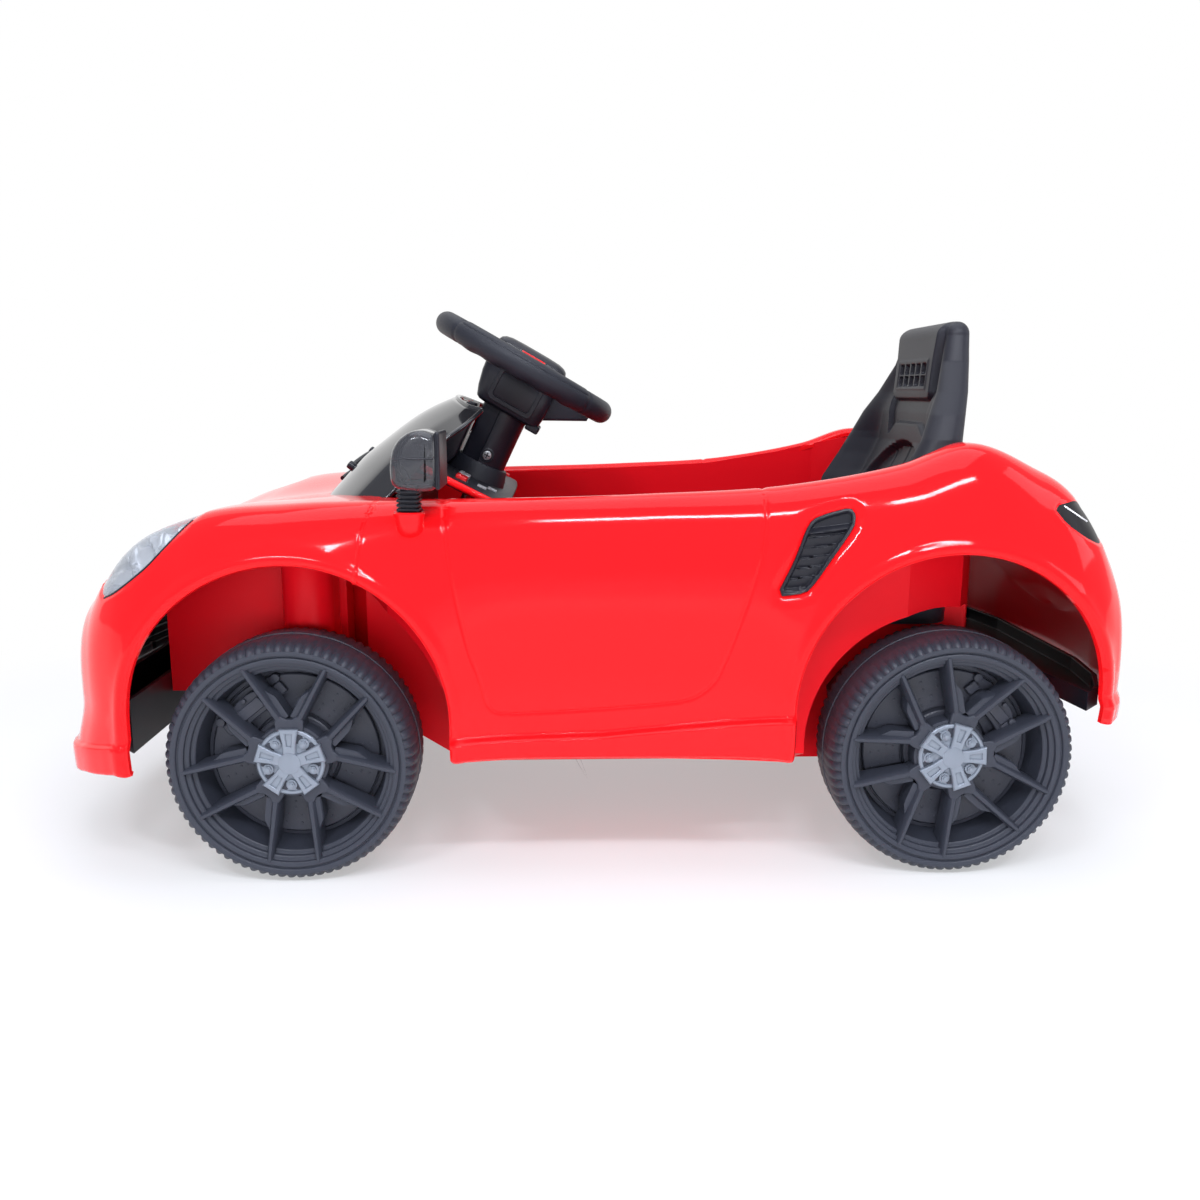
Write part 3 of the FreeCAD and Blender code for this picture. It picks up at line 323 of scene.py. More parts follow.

# The CAD red parts take the inner red, whose darker colour is painted shade.
nodeLooks = {"red_body": redInnerShaded, "screen": screenBlack, "black_trim": satinBlack, "grained_black": grainBlack,
             "wheel_black": wheelBlack, "silver": silverPaint, "clear": clearLens, "reflector": platedBright,
             "dark_lens": tailDark, "steel": steelGrey, "smoke": smokeShell, "mirror_face": mirrorFace,
             "red_switch": redSwitch, "drive_grey": driveGrey, "battery_case": driveGrey, "motor_steel": steelGrey}
nodeFinish = {"weld": 0.00002, "edge": 0.0009, "tubEdge": 0.0022, "sharpest": 38.0}  # metres and degrees
slotOfNode = {part["node"]: part["material_slot"] for part in frame["record"]["subparts"]}
for nodeName, node in frame["nodes"].items():
    node.data.materials.clear()
    node.data.materials.append(nodeLooks[slotOfNode[nodeName]])
    weld = node.modifiers.new("weld", "WELD")
    weld.merge_threshold = nodeFinish["weld"]
    rounding = node.modifiers.new("rounding", "BEVEL")
    rounding.width = nodeFinish["tubEdge" if nodeName == "cockpit_tub" else "edge"]
    rounding.segments = 2
    rounding.limit_method = "ANGLE"
    rounding.angle_limit = math.radians(nodeFinish["sharpest"])
    rounding.harden_normals = False
print("materials ready")

# Body skin: the section rows run from nose to tail as x, half width, low edge, crest y, crest z, centre z.
# Each section is measured by its girth, from 0 at the low edge to the full girth on the centre line.
body = {
    "rows": np.array([
        (-502, 118, 81, 70, 214, 218), (-490, 166, 85, 112, 233, 237), (-465, 212, 93, 150, 257, 261),
        (-430, 243, 101, 178, 297, 297), (-365, 258, 106, 194, 330, 321), (-279, 262, 110, 199, 341, 333),
        (-200, 259, 117, 204, 344, 342), (-100, 253, 117, 208, 346, 346), (40, 252, 117, 208, 350, 350),
        (170, 258, 117, 208, 358, 358), (270, 264, 125, 207, 376, 377), (335, 264, 132, 200, 395, 396),
        (390, 260, 139, 190, 375, 380), (431, 252, 143, 180, 351, 357), (460, 238, 143, 165, 316, 322),
        (483, 212, 143, 140, 275, 282), (497, 172, 143, 110, 244, 250), (505, 122, 143, 78, 224, 230)], float),
    "dome": 100.0, "ends": ((-102.0, 1.58), (94.0, -1.6)),  # depth and rise of the nose and the tail past the rows
    "girth": 470.0, "sideShare": 0.25, "crestShare": 0.65,  # shares of the girth at the widest line and the crest
    "sideZ": 205.0, "skin": 4.0, "step": 7.0,
    "arches": ((-276.0, 151.5, 141.0), (314.0, 160.5, 141.0)),
    "cockpit": ((-250, 0), (-250, 80), (-200, 170), (-150, 204), (285, 204), (345, 174), (378, 105), (378, 0)),
    "headlight": ((-441, 260, 0), (-452, 274, 8), (-432, 297, 24), (-410, 313, 28), (-386, 326, 24), (-366, 335, 10),
                  (-351, 338, 0), (-362, 327, 0), (-371, 316, 0), (-382, 303, 0), (-394, 289, 0), (-409, 277, 0),
                  (-425, 266, 0)),
    "tail": ((399, 341.5, 0), (430, 344, 3), (443, 335, 6), (453, 322, 6), (460, 307, 0), (449, 306, 0),
             (430, 314, 0), (411, 326, 0)),
    "vent": ((178, 322, 0), (184, 331, 0), (196, 336, 0), (217, 341.5, 0), (221, 335, 0), (219, 325, 0),
             (199, 297, 0), (186, 278, 0), (177, 268, 0), (152, 264.5, 0), (168, 296, 0)),
    "grille": ((0, 188), (90, 197), (152, 214), (170, 196), (163, 140), (0, 140)),
    "ledge": ((-135, -2, 170), (137, 140, 157)),
    "grooves": (((-199, 347), (-207, 326), (-211, 295), (-211, 277)),
                ((-139, 346), (-134, 300), (-127, 262), (-116, 215), (-107, 191), (-102, 168), (-92, 158), (-2, 162),
                 (78, 169), (100, 185), (112, 215), (126, 255), (139, 295), (144, 321), (145, 359))),
}
rows = body["rows"]
rowSlope = np.zeros_like(rows)
rowStep = np.diff(rows[:, 0])[:, None]
rowRate = np.diff(rows, axis=0) / rowStep
rowSlope[1:-1] = (rowRate[:-1] * rowStep[1:] + rowRate[1:] * rowStep[:-1]) / (rowStep[1:] + rowStep[:-1])
rowSlope[0], rowSlope[-1] = rowRate[0], rowRate[-1]
noseX, tailX = rows[0, 0], rows[-1, 0]
sigmaNose, sigmaTail = noseX - body["dome"], tailX + body["dome"]


def bodyRow(sigma):
    sigma = np.asarray(sigma, float)
    inside = np.clip(sigma, noseX, tailX)
    k = np.clip(np.searchsorted(rows[:, 0], inside) - 1, 0, len(rows) - 2)
    h = rowStep[k, 0]
    t = (inside - rows[k, 0]) / h
    t, h = t[..., None], h[..., None]
    value = ((2 * t ** 3 - 3 * t ** 2 + 1) * rows[k] + (t ** 3 - 2 * t ** 2 + t) * h * rowSlope[k]
             + (3 * t ** 2 - 2 * t ** 3) * rows[k + 1] + (t ** 3 - t ** 2) * h * rowSlope[k + 1])
    for beyond, (deep, rise) in zip((noseX - sigma, sigma - tailX), body["ends"]):
        out = np.clip(beyond / body["dome"], 0, 1)
        angle = np.radians(60 + 30 * out)
        shrink = np.where(out > 0, np.cos(angle) / 0.5, 1.0)
        push = np.where(out > 0, deep * (np.sin(angle) - math.sin(math.radians(60))), 0.0)
        value[..., 0] += push
        value[..., 1] *= shrink
        value[..., 3] *= shrink
        value[..., 4] += rise * push
        value[..., 5] += rise * push
    return value


def widestZ(low, crestZ):
    return np.minimum(body["sideZ"], low + 0.55 * (crestZ - low))


def bodyBase(sigma, girth):
    x, half, low, crestY, crestZ, centreZ = np.moveaxis(bodyRow(sigma), -1, 0)
    share = np.clip(np.asarray(girth, float) / body["girth"], 0, 1)
    side, crest = body["sideShare"], body["crestShare"]
    wide = widestZ(low, crestZ)
    up = np.clip(share / side, 0, 1)
    angle = np.radians(90) * np.clip((share - side) / (crest - side), 0, 1)
    across = np.clip((share - crest) / (1 - crest), 0, 1)
    tuck = np.minimum(6.0, 0.2 * half)
    y = np.where(share < side, half - tuck * (1 - up) ** 2, crestY + (half - crestY) * np.cos(angle).clip(0) ** 0.8)
    z = np.where(share < side, low + up * (wide - low), wide + (crestZ - wide) * np.sin(angle).clip(0) ** 0.8)
    y = np.where(share > crest, crestY * (1 - across), y)
    z = np.where(share > crest, centreZ + (crestZ - centreZ) * (1 - across) ** 2 * (1 + 2 * across), z)
    return np.stack((x, y, z), -1)


def girthAtZ(sigma, z):
    # Girth of a point on the side or shoulder at a given height.
    x, half, low, crestY, crestZ, centreZ = np.moveaxis(bodyRow(sigma), -1, 0)
    side, crest = body["sideShare"], body["crestShare"]
    wide = widestZ(low, crestZ)
    lower = side * np.clip((z - low) / (wide - low), 0, 1)
    ratio = np.clip((z - wide) / (crestZ - wide), 0, 1) ** 1.25
    return body["girth"] * np.where(z < wide, lower, side + (crest - side) * np.arcsin(ratio) / (math.pi / 2))


def girthAtY(sigma, y):
    crestY = bodyRow(sigma)[..., 3]
    crest = body["crestShare"]
    return body["girth"] * (crest + (1 - crest) * (1 - np.clip(y / crestY, 0, 1)))


def softStep(value):
    value = np.clip(value, 0, 1)
    return value * value * (3 - 2 * value)


def ridges(value, pitch, spread):
    # Row of rounded ridges, one at each whole pitch.
    return np.exp(-((((value + pitch / 2) % pitch) - pitch / 2) / spread) ** 2)


def pathPoints(corners, step, closed=False):
    corners = [np.asarray(c, float) for c in corners] + ([np.asarray(corners[0], float)] if closed else [])
    result = []
    for a, b in zip(corners, corners[1:]):
        count = max(int(round(np.linalg.norm(b - a) / step)), 1)
        result += [a + (b - a) * i / count for i in range(count)]
    return np.array(result if closed else result + [corners[-1]])


def chaikin(corners, rounds=2, closed=False):
    corners = np.asarray(corners, float)
    for _ in range(rounds):
        ahead = np.roll(corners, -1, 0) if closed else corners[1:]
        here = corners if closed else corners[:-1]
        pairs = np.stack((0.8 * here + 0.2 * ahead, 0.2 * here + 0.8 * ahead), 1).reshape(-1, corners.shape[1])
        corners = pairs if closed else np.vstack((corners[:1], pairs[1:-1], corners[-1:]))
    return corners


def pathDistance(points, path, closed=False):
    path = np.asarray(path, float)
    if closed:
        path = np.vstack((path, path[:1]))
    best = np.full(len(points), 1e9)
    for a, b in zip(path, path[1:]):
        way = b - a
        t = np.clip(((points - a) @ way) / (way @ way + 1e-12), 0, 1)
        best = np.minimum(best, np.linalg.norm(points - a - t[:, None] * way, axis=1))
    return best


def insideLoop(points, loop):
    loop = np.asarray(loop, float)
    inside = np.zeros(len(points), bool)
    for a, b in zip(loop, np.roll(loop, -1, 0)):
        crosses = (a[1] > points[:, 1]) != (b[1] > points[:, 1])
        with np.errstate(divide="ignore", invalid="ignore"):
            at = (b[0] - a[0]) * (points[:, 1] - a[1]) / (b[1] - a[1]) + a[0]
        inside ^= crosses & (points[:, 0] < at)
    return inside


def archDistance(x, z, arch):
    cx, cz, radius = arch
    return np.where(z > cz, np.hypot(x - cx, z - cz), np.abs(x - cx)) - radius


cockpitEdge = chaikin(body["cockpit"], 3)
# Insert outlines as x, z and how far past that point they reach over the crest.
outlines = {name: chaikin(body[name], 1, True) for name in ("headlight", "tail", "vent")}
headlightEdge, tailEdge, ventEdge = (outline[:, :2] for outline in outlines.values())


# Heights and spreads of the moulded details, in millimetres.
moulding = {
    "archFlare": (4.5, 34.0), "archBead": (2.2, 6.0, 5.5), "archRound": 3.6,
    "sill": 8.5, "sillTuck": 4.0, "lip": (3.0, 6.0), "lipLedge": 5.0, "lipRound": 8.0, "tailStep": 4.0,
    "grooves": ((1.7, 1.2), (1.2, 1.5)), "ventDip": (4.0, 11.0), "lampDip": (1.2, 3.0), "cockpitRound": (5.0, 5.5),
}


def bodyLift(base, girth):
    # How far the moulded details stand out of the plain skin.
    x, y, z = base[:, 0], base[:, 1], base[:, 2]
    sideView, plan = np.stack((x, z), 1), np.stack((x, y), 1)

    def below(share):
        return girth < share * body["girth"]

    side = 1 - softStep((girth / body["girth"] - 0.33) / 0.3)
    lift = np.zeros(len(base))
    near = np.full(len(base), 1e9)
    for arch in body["arches"]:
        near = np.minimum(near, np.abs(archDistance(x, z, arch)))
    high, spread = moulding["archFlare"]
    lift += side * high * np.exp(-(near / spread) ** 2)
    high, away, spread = moulding["archBead"]
    lift += high * np.exp(-((near - away) / spread) ** 2)
    lift -= moulding["archRound"] * np.clip(1 - near / moulding["archRound"], 0, 1) ** 2
    # Sill under the door.
    ledge = np.interp(x, *body["ledge"])
    run = softStep((x + 140) / 6) * softStep((176 - x) / 6)
    lift += moulding["sill"] * run * softStep((ledge + 2 - z) / 5) * below(0.3)
    lift -= moulding["sillTuck"] * run * softStep((121 - z) / 4) * below(0.1)
    # Lip round the nose and step across the tail.
    low = np.interp(x, rows[:, 0], rows[:, 2])
    front = softStep((-395 - x) / 45)
    reach = moulding["lip"][0] + moulding["lip"][1] * softStep((-440 - x) / 40)
    lift += front * reach * softStep((low + 70 - z) / 50) * below(0.3)
    lift += front * moulding["lipLedge"] * softStep((low + 31 - z) / 3.5) * below(0.2)
    lift -= front * moulding["lipRound"] * np.clip((low + 5 - z) / 5, 0, 1) ** 2 * below(0.2)
    tail = softStep((x - 441) / 20)
    lift += tail * moulding["tailStep"] * softStep((168 - z) / 10) * below(0.25)
    # Door grooves and the seats of the vents, lamps and cockpit edge.
    onSide = below(0.74)
    for groove, (deep, spread) in zip(body["grooves"], moulding["grooves"]):
        away = pathDistance(sideView, chaikin(groove, 2))
        lift -= onSide * deep * np.exp(-(away / spread) ** 2)
    for edge, (deep, spread), power in ((ventEdge, moulding["ventDip"], 2), (headlightEdge, moulding["lampDip"], 1),
                                        (tailEdge, moulding["lampDip"], 1)):
        away = pathDistance(sideView, edge, True)
        dip = deep * np.clip(1 - away / spread, 0, 1) ** power
        lift -= onSide * np.where(insideLoop(sideView, edge), deep, dip)
    deep, spread = moulding["cockpitRound"]
    lift -= ~below(0.6) * deep * np.clip(1 - pathDistance(plan, cockpitEdge) / spread, 0, 1) ** 2
    return lift


def bodyPoints(domain, extra=None):
    base = bodyBase(domain[:, 0], domain[:, 1])
    step = 0.6
    ahead = bodyBase(np.clip(domain[:, 0] + step, sigmaNose, sigmaTail), domain[:, 1])
    behind = bodyBase(np.clip(domain[:, 0] - step, sigmaNose, sigmaTail), domain[:, 1])
    above = bodyBase(domain[:, 0], np.clip(domain[:, 1] + step, 0, body["girth"]))
    below = bodyBase(domain[:, 0], np.clip(domain[:, 1] - step, 0, body["girth"]))
    normal = np.cross(ahead - behind, above - below)
    size = np.linalg.norm(normal, axis=1)
    normal = np.where(size[:, None] > 1e-7, normal / np.maximum(size, 1e-9)[:, None],
                      np.where(base[:, :1] < 0, (-1.0, 0, 0), (1.0, 0, 0)))
    outward = base - np.array((0, 0, 150.0))
    outward[:, 0] *= 0.15
    normal *= np.where(np.sum(normal * outward, 1) < 0, -1.0, 1.0)[:, None]
    lift = bodyLift(base, domain[:, 1])
    if extra is not None:
        lift = lift + extra(base)
    return base + normal * lift[:, None], normal


def bodyNormals(domain, extra=None):
    step = 0.5
    shift = []
    for du, dv in ((step, 0), (-step, 0), (0, step), (0, -step)):
        at = domain + np.array((du, dv))
        at[:, 0] = np.clip(at[:, 0], sigmaNose + 0.05, sigmaTail - 0.05)
        at[:, 1] = np.clip(at[:, 1], 0, body["girth"])
        shift.append(bodyPoints(at, extra)[0])
    here, plain = bodyPoints(domain, extra)
    normal = np.cross(shift[0] - shift[1], shift[2] - shift[3])
    size = np.linalg.norm(normal, axis=1)
    normal = np.where(size[:, None] > 1e-7, normal / np.maximum(size, 1e-9)[:, None], plain)
    return normal * np.where(np.sum(normal * plain, 1) < 0, -1.0, 1.0)[:, None]


def sideLoop(corners, step):
    path = pathPoints(corners, step, True)
    return np.stack((path[:, 0], girthAtZ(path[:, 0], path[:, 1]) + path[:, 2]), 1)


def noseSigma(y, z):
    low, high = np.full(len(y), sigmaNose), np.full(len(y), -440.0)
    for _ in range(40):
        middle = (low + high) / 2
        wider = bodyBase(middle, girthAtZ(middle, z))[:, 1] > y
        high, low = np.where(wider, middle, high), np.where(wider, low, middle)
    return (low + high) / 2


def archPath(arch):
    cx, cz, radius = arch
    turn = np.radians(np.linspace(180, 0, 84))
    curve = np.stack((cx + radius * np.cos(turn), cz + radius * np.sin(turn)), 1)
    left = [(cx - radius, z) for z in np.linspace(60, cz, 18, endpoint=False)]
    right = [(cx + radius, z) for z in np.linspace(cz, 60, 18)[1:]]
    path = np.vstack((left, curve, right))
    floor = bodyRow(path[:, 0])[:, 2]
    path = path[path[:, 1] > floor + 1]
    ends = bodyRow(np.array((cx - radius, cx + radius)))[:, 2]
    path = np.vstack(((cx - radius, ends[0]), path, (cx + radius, ends[1])))
    return np.stack((path[:, 0], girthAtZ(path[:, 0], path[:, 1])), 1)


def offsetRows(path, amounts, closed=False):
    path = np.asarray(path, float)
    way = np.roll(path, -1, 0) - np.roll(path, 1, 0) if closed else np.gradient(path, axis=0)
    way /= np.linalg.norm(way, axis=1)[:, None] + 1e-9
    side = np.stack((-way[:, 1], way[:, 0]), 1)
    return [path + amount * side for amount in amounts]


def fieldPoints(low, high, pitchX, pitchY):
    across, up = np.arange(low[0], high[0], pitchX), np.arange(low[1], high[1], pitchY)
    return np.stack(np.meshgrid(across, up), -1).reshape(-1, 2)


def onGirth(x, z):
    return np.stack((x, girthAtZ(x, z)), 1)


def spacedOut(fixed, groups, loop):
    # Adds the points inside the loop that stand clear of those before them; the last group is the coarse field.
    accepted, cells = list(map(tuple, fixed)), {}

    def cellOf(p):
        return int(p[0] // 4), int(p[1] // 4)

    def taken(p, reach):
        cx, cy = cellOf(p)
        near = (q for i in range(cx - 1, cx + 2) for j in range(cy - 1, cy + 2) for q in cells.get((i, j), ()))
        return any((q[0] - p[0]) ** 2 + (q[1] - p[1]) ** 2 < reach * reach for q in near)

    for p in accepted:
        cells.setdefault(cellOf(p), []).append(p)
    for group in groups:
        reach = 3.4 if group is groups[-1] else 0.75
        for p in map(tuple, group[insideLoop(group, loop)]):
            if not taken(p, reach):
                cells.setdefault(cellOf(p), []).append(p)
                accepted.append(p)
    return accepted


# Rows of points that follow the details, as distances from their edges in millimetres.
rowsAlong = {
    "arch": (0.9, 1.9, 3.1, 4.8, 7.2, 10.2, 14), "cockpit": (1.2, 2.6, 4.2, 6.2, 9),
    "inserts": {"headlight": (1.2, 2.6, 4.5), "tail": (1.2, 2.6, 4.5), "vent": (1.8, 4, 7, 11)},
    "groove": (0.01, 1.3, -1.3, 2.8, -2.8, 4.6, -4.6), "ledge": (-3.5, -2.2, -0.9, 0.4, 1.7, 3),
    "sill": (1.0, 2.4, 4.0, 6.5),
    "lip": (1, 2.2, 3.6, 5.5, 9, 14, 19, 23, 25.5, 27, 28.2, 29.4, 30.6, 31.8, 33.2, 36, 41),
    "pitch": {"vent": 1.2, "headlight": 3.0, "tail": 3.0}, "grillePitch": (3.0, 1.5),
}


def bodyDomain():
    # Flat map of half the body, by sigma along and girth around, cut into triangles along every edge.
    step, girth = body["step"], body["girth"]
    grillePath = pathPoints(body["grille"], 4.0)
    grilleLine = onGirth(noseSigma(grillePath[:, 0], grillePath[:, 1]), grillePath[:, 1])
    grilleLine[[0, -1], 0] = sigmaNose
    frontArch, rearArch = (archPath(arch) for arch in body["arches"])
    cockpit = pathPoints(cockpitEdge, 5.0)
    cockpitLine = np.stack((cockpit[:, 0], girthAtY(cockpit[:, 0], cockpit[:, 1])), 1)
    grilleEnds = grilleLine[[0, -1], 1]
    noseSides = [v for v in np.linspace(0, girth, 68)[1:-1].tolist() if min(abs(v - g) for g in grilleEnds) > 3]
    noseSides += grilleEnds.tolist()
    loop = np.vstack([
        pathPoints(((sigmaNose, 0), frontArch[0]), step)[:-1], frontArch,
        pathPoints((frontArch[-1], rearArch[0]), step)[1:-1], rearArch,
        pathPoints((rearArch[-1], (sigmaTail, 0)), step)[1:-1],
        pathPoints(((sigmaTail, 0), (sigmaTail, girth)), step)[:-1],
        pathPoints(((sigmaTail, girth), cockpitLine[-1]), step)[:-1], cockpitLine[::-1],
        pathPoints((cockpitLine[0], (sigmaNose, girth)), step)[1:],
        np.array([(sigmaNose, v) for v in sorted(noseSides, reverse=True)])])
    closedLoops = {name: sideLoop(outline, 2.5) for name, outline in outlines.items()}
    points, edges, start = [], [], 0
    for path in (loop, *closedLoops.values()):
        points.append(path)
        edges += [(start + i, start + (i + 1) % len(path)) for i in range(len(path))]
        start += len(path)
    ends = [int(np.argmin(np.abs(loop - grilleLine[i]).sum(1))) for i in (0, -1)]
    points.append(grilleLine[1:-1])
    chain = [ends[0]] + list(range(start, start + len(grilleLine) - 2)) + [ends[1]]
    edges += list(zip(chain, chain[1:]))

    extra = []
    for line, amounts in ((frontArch, rowsAlong["arch"]), (rearArch, rowsAlong["arch"]),
                          (cockpitLine, rowsAlong["cockpit"])):
        extra += offsetRows(line, amounts) + offsetRows(line, [-a for a in amounts])
    for name, amounts in rowsAlong["inserts"].items():
        extra += offsetRows(closedLoops[name], amounts, True)
        extra += offsetRows(closedLoops[name], [-a for a in amounts[:2]], True)
    for groove in body["grooves"]:
        path = pathPoints(chaikin(groove, 2), 4.0)
        extra += offsetRows(onGirth(path[:, 0], path[:, 1]), rowsAlong["groove"])
    ledgeX = np.arange(-132, 170, 5.0)
    lipX = np.arange(sigmaNose + 4, -418, 6.0)
    extra += [onGirth(ledgeX, np.interp(ledgeX, *body["ledge"]) + dz) for dz in rowsAlong["ledge"]]
    extra += [onGirth(ledgeX, bodyRow(ledgeX)[:, 2] + dz) for dz in rowsAlong["sill"]]
    extra += [onGirth(lipX, bodyRow(lipX)[:, 2] + dz) for dz in rowsAlong["lip"]]
    for name, pitch in rowsAlong["pitch"].items():
        field = fieldPoints(closedLoops[name].min(0), closedLoops[name].max(0), pitch, pitch)
        extra.append(field[insideLoop(field, closedLoops[name])])
    grilleLoop = np.vstack((grilleLine, (sigmaNose - 1, grilleLine[-1, 1]), (sigmaNose - 1, grilleLine[0, 1])))
    field = fieldPoints(grilleLine.min(0), grilleLine.max(0), *rowsAlong["grillePitch"])
    extra.append(field[insideLoop(field, grilleLoop)])
    extra.append(fieldPoints((sigmaNose, 0), (sigmaTail, girth), step, step))

    result = delaunay_2d_cdt(spacedOut(np.vstack(points), extra, loop), edges, [], 0, 1e-5)
    domain = np.array([tuple(v) for v in result[0]])
    triangles = np.array(result[2])
    centre = domain[triangles].mean(1)
    inside = insideLoop(centre, loop)
    regions = {name: insideLoop(centre, path) & inside for name, path in closedLoops.items()}
    regions["grille"] = insideLoop(centre, grilleLoop) & inside
    regions["skin"] = inside & ~np.any(list(regions.values()), axis=0)
    return domain, {name: triangles[mask] for name, mask in regions.items()}


def boundaryEdges(triangles):
    count = {}
    for a, b, c in triangles:
        for edge in ((a, b), (b, c), (c, a)):
            key = (min(edge), max(edge))
            count[key] = None if key in count else edge
    return [edge for edge in count.values() if edge is not None]


def skinShape(domain, triangles, thick, extra=None, bothSides=True):
    # Closed sheet of one region, as the left side or both sides of the car.
    used = np.unique(triangles)
    number = np.full(len(domain), -1)
    number[used] = np.arange(len(used))
    triangles = number[triangles]
    where = domain[used]
    outer = bodyPoints(where, extra)[0]
    normal = bodyNormals(where, extra)
    middle = np.abs(where[:, 1] - body["girth"]) < 1e-4
    middle |= (where[:, 0] < sigmaNose + 1e-3) | (where[:, 0] > sigmaTail - 1e-3)
    triangles = triangles[~middle[triangles].all(1)]  # no sliver stands in the plane of symmetry
    outer[middle, 1] = 0
    normal[middle, 1] = 0
    normal /= np.linalg.norm(normal, axis=1)[:, None] + 1e-12
    corner = outer[triangles]
    across = np.cross(corner[:, 1] - corner[:, 0], corner[:, 2] - corner[:, 0])
    facing = np.sum(across * normal[triangles].sum(1), 1)
    triangles = np.where(facing[:, None] < 0, triangles[:, ::-1], triangles)
    inner = outer - thick * normal
    inner[middle, 1] = 0
    rim = [e for e in boundaryEdges(triangles) if not (middle[e[0]] and middle[e[1]])]
    points, normals = [outer, inner], [normal, -normal]
    faces = [tuple(t) for t in triangles] + [tuple(t[::-1] + len(outer)) for t in triangles]
    start = 2 * len(outer)
    rimPoints, rimNormals = [], []
    for a, b in rim:
        quad = np.array((outer[b], outer[a], inner[a], inner[b]))
        across = np.cross(quad[1] - quad[0], quad[2] - quad[0])
        across /= np.linalg.norm(across) + 1e-12
        faces.append(tuple(range(start, start + 4)))
        rimPoints.append(quad)
        rimNormals.append(np.repeat(across[None], 4, 0))
        start += 4
    points, normals = np.vstack(points + rimPoints), np.vstack(normals + rimNormals)
    left = (points * np.array((1, -1, 1)), [f[::-1] for f in faces], normals * np.array((1, -1, 1)))
    tags = [0] * len(triangles) + [1] * len(triangles) + [0] * len(rim)
    if not bothSides:
        return left + (tags,)
    total = len(points)
    same = np.arange(total) + total
    seam = np.r_[middle, middle]
    same[:len(seam)][seam] = np.arange(len(seam))[seam]
    return (np.vstack((left[0], points)), left[1] + [tuple(int(same[i]) for i in f) for f in faces],
            np.vstack((left[2], normals)), tags + tags)


bodyMap, bodyRegions = bodyDomain()
print("body surface:", len(bodyMap), "points", {k: len(v) for k, v in bodyRegions.items()})
points, faces, normals, tags = skinShape(bodyMap, bodyRegions["skin"], body["skin"])
shell = addPiece("bodyShell", (points, faces), redGloss, "chassis", ["body_shell"], normals=normals)
# Inner faces take the inner red, whose darker colour is painted shade.
shell.data.materials.append(redInnerShaded)
shell.data.polygons.foreach_set("material_index", tags)

# Road wheels, drawn with the axle along local Z, the outer face at +Z and a fork of the spokes pointing to +Y.
# Faces are profiles of radius and height from the parting line.
wheel = {
    "blocks": 78, "samples": 8, "forks": 5,
    "places": {"front": -279.0, "rear": 321.0}, "axleZ": 112.5, "hubY": 211.0,
    "rearTurn": 88.0,  # degrees the rear wheels have rolled on
    "treadRows": (0, 0.5, 0.9, 1.4, 2.6, 3.4, 4.2, 5.0, 5.8, 7, 9, 11, 14, 18, 22, 26, 29, 31, 32.5, 34, 35.4, 36.8,
                  38, 38.6, 39),
    "treadRadius": ((0, 0.5, 0.9, 1.4, 20, 31, 36, 38, 39),
                    (112.5, 112.5, 111.7, 111.9, 112.3, 110.8, 108.6, 106.4, 104.8)),
    "rimFace": ((104.2, 39.5), (102.2, 39.6), (100.4, 39.2), (99.6, 38.4), (99.2, 36.6), (98.2, 36.4), (97.7, 37.9),
                (96.9, 38.4), (94.0, 38.0), (93.2, 37.3), (92.8, 34.4), (92.0, 33.8), (89.8, 33.6), (89.0, 32.9),
                (88.6, 29.6), (87.8, 29.0), (85.8, 28.8), (85.0, 28.0), (84.6, 23), (82.6, 14), (81.4, 6), (81, 1)),
    "backFace": ((104.4, 39.4), (100.5, 39.2), (99, 38), (96, 37.4), (91, 34), (86, 30), (82.5, 22), (81.5, 14),
                 (58, 13.4), (57, 12), (33, 12), (32, 13.4), (31, 38.4), (30.2, 39), (26, 39), (25.2, 38.4), (25, 22),
                 (5.3, 22)),
    "hubDrum": ((5.2, 27), (31.2, 27), (33.4, 26.2), (34, 24.8), (34, 6), (5.2, 6)),
    "forkRoot": ((-13, 16), (13, 16), (12.2, 28), (13.2, 38), (10.5, 43), (6.2, 42), (2.8, 39.6), (-2.8, 39.6),
                 (-6.2, 42), (-10.5, 43), (-13.2, 38), (-12.2, 28)),
}
forkTurns = [360 / wheel["forks"] * k for k in range(wheel["forks"])]


def treadRing(heights, radii, angles):
    # Tyre surface with rounded lugs towards the shoulder; heights are measured from the parting line.
    pitch = (angles * wheel["blocks"] / (2 * math.pi))[:, None]
    height, radius = heights[None, :], np.repeat(radii[None, :], len(angles), 0)
    wave = 0.5 - 0.5 * np.cos(2 * math.pi * pitch)
    valley = wave ** 2 * (0.5 + 1.5 * softStep((height - 20) / 10)) * softStep((height - 7) / 4)
    spot = np.abs(pitch % 1 - 0.5)
    dots = np.exp(-(spot / 0.14) ** 2 - ((height - 4.2) / 1.3) ** 2)
    lug = wave ** 2 * softStep((height - 31) / 5)
    return radius - valley - 1.2 * dots, 1.4 * lug


def tyreHalf(face, mirror):
    angles = np.linspace(0, 2 * math.pi, wheel["blocks"] * wheel["samples"], endpoint=False)
    heights = np.array(wheel["treadRows"])
    radii = np.interp(heights, *wheel["treadRadius"])
    radius, pull = treadRing(heights, radii, angles)
    height = np.repeat(heights[None, :], len(angles), 0) - pull
    face = np.array(face, float)
    radius = np.hstack((radius, np.repeat(face[None, :, 0], len(angles), 0)))
    height = np.hstack((height, np.repeat(face[None, :, 1], len(angles), 0)))
    if mirror:
        height = -height
    rings = np.stack((radius * np.cos(angles)[:, None], radius * np.sin(angles)[:, None], height), -1)
    return gridShape(rings, closeU=True)


def turnedZ(shape, degrees):
    return moved(shape, Matrix.Rotation(math.radians(degrees), 4, "Z"))


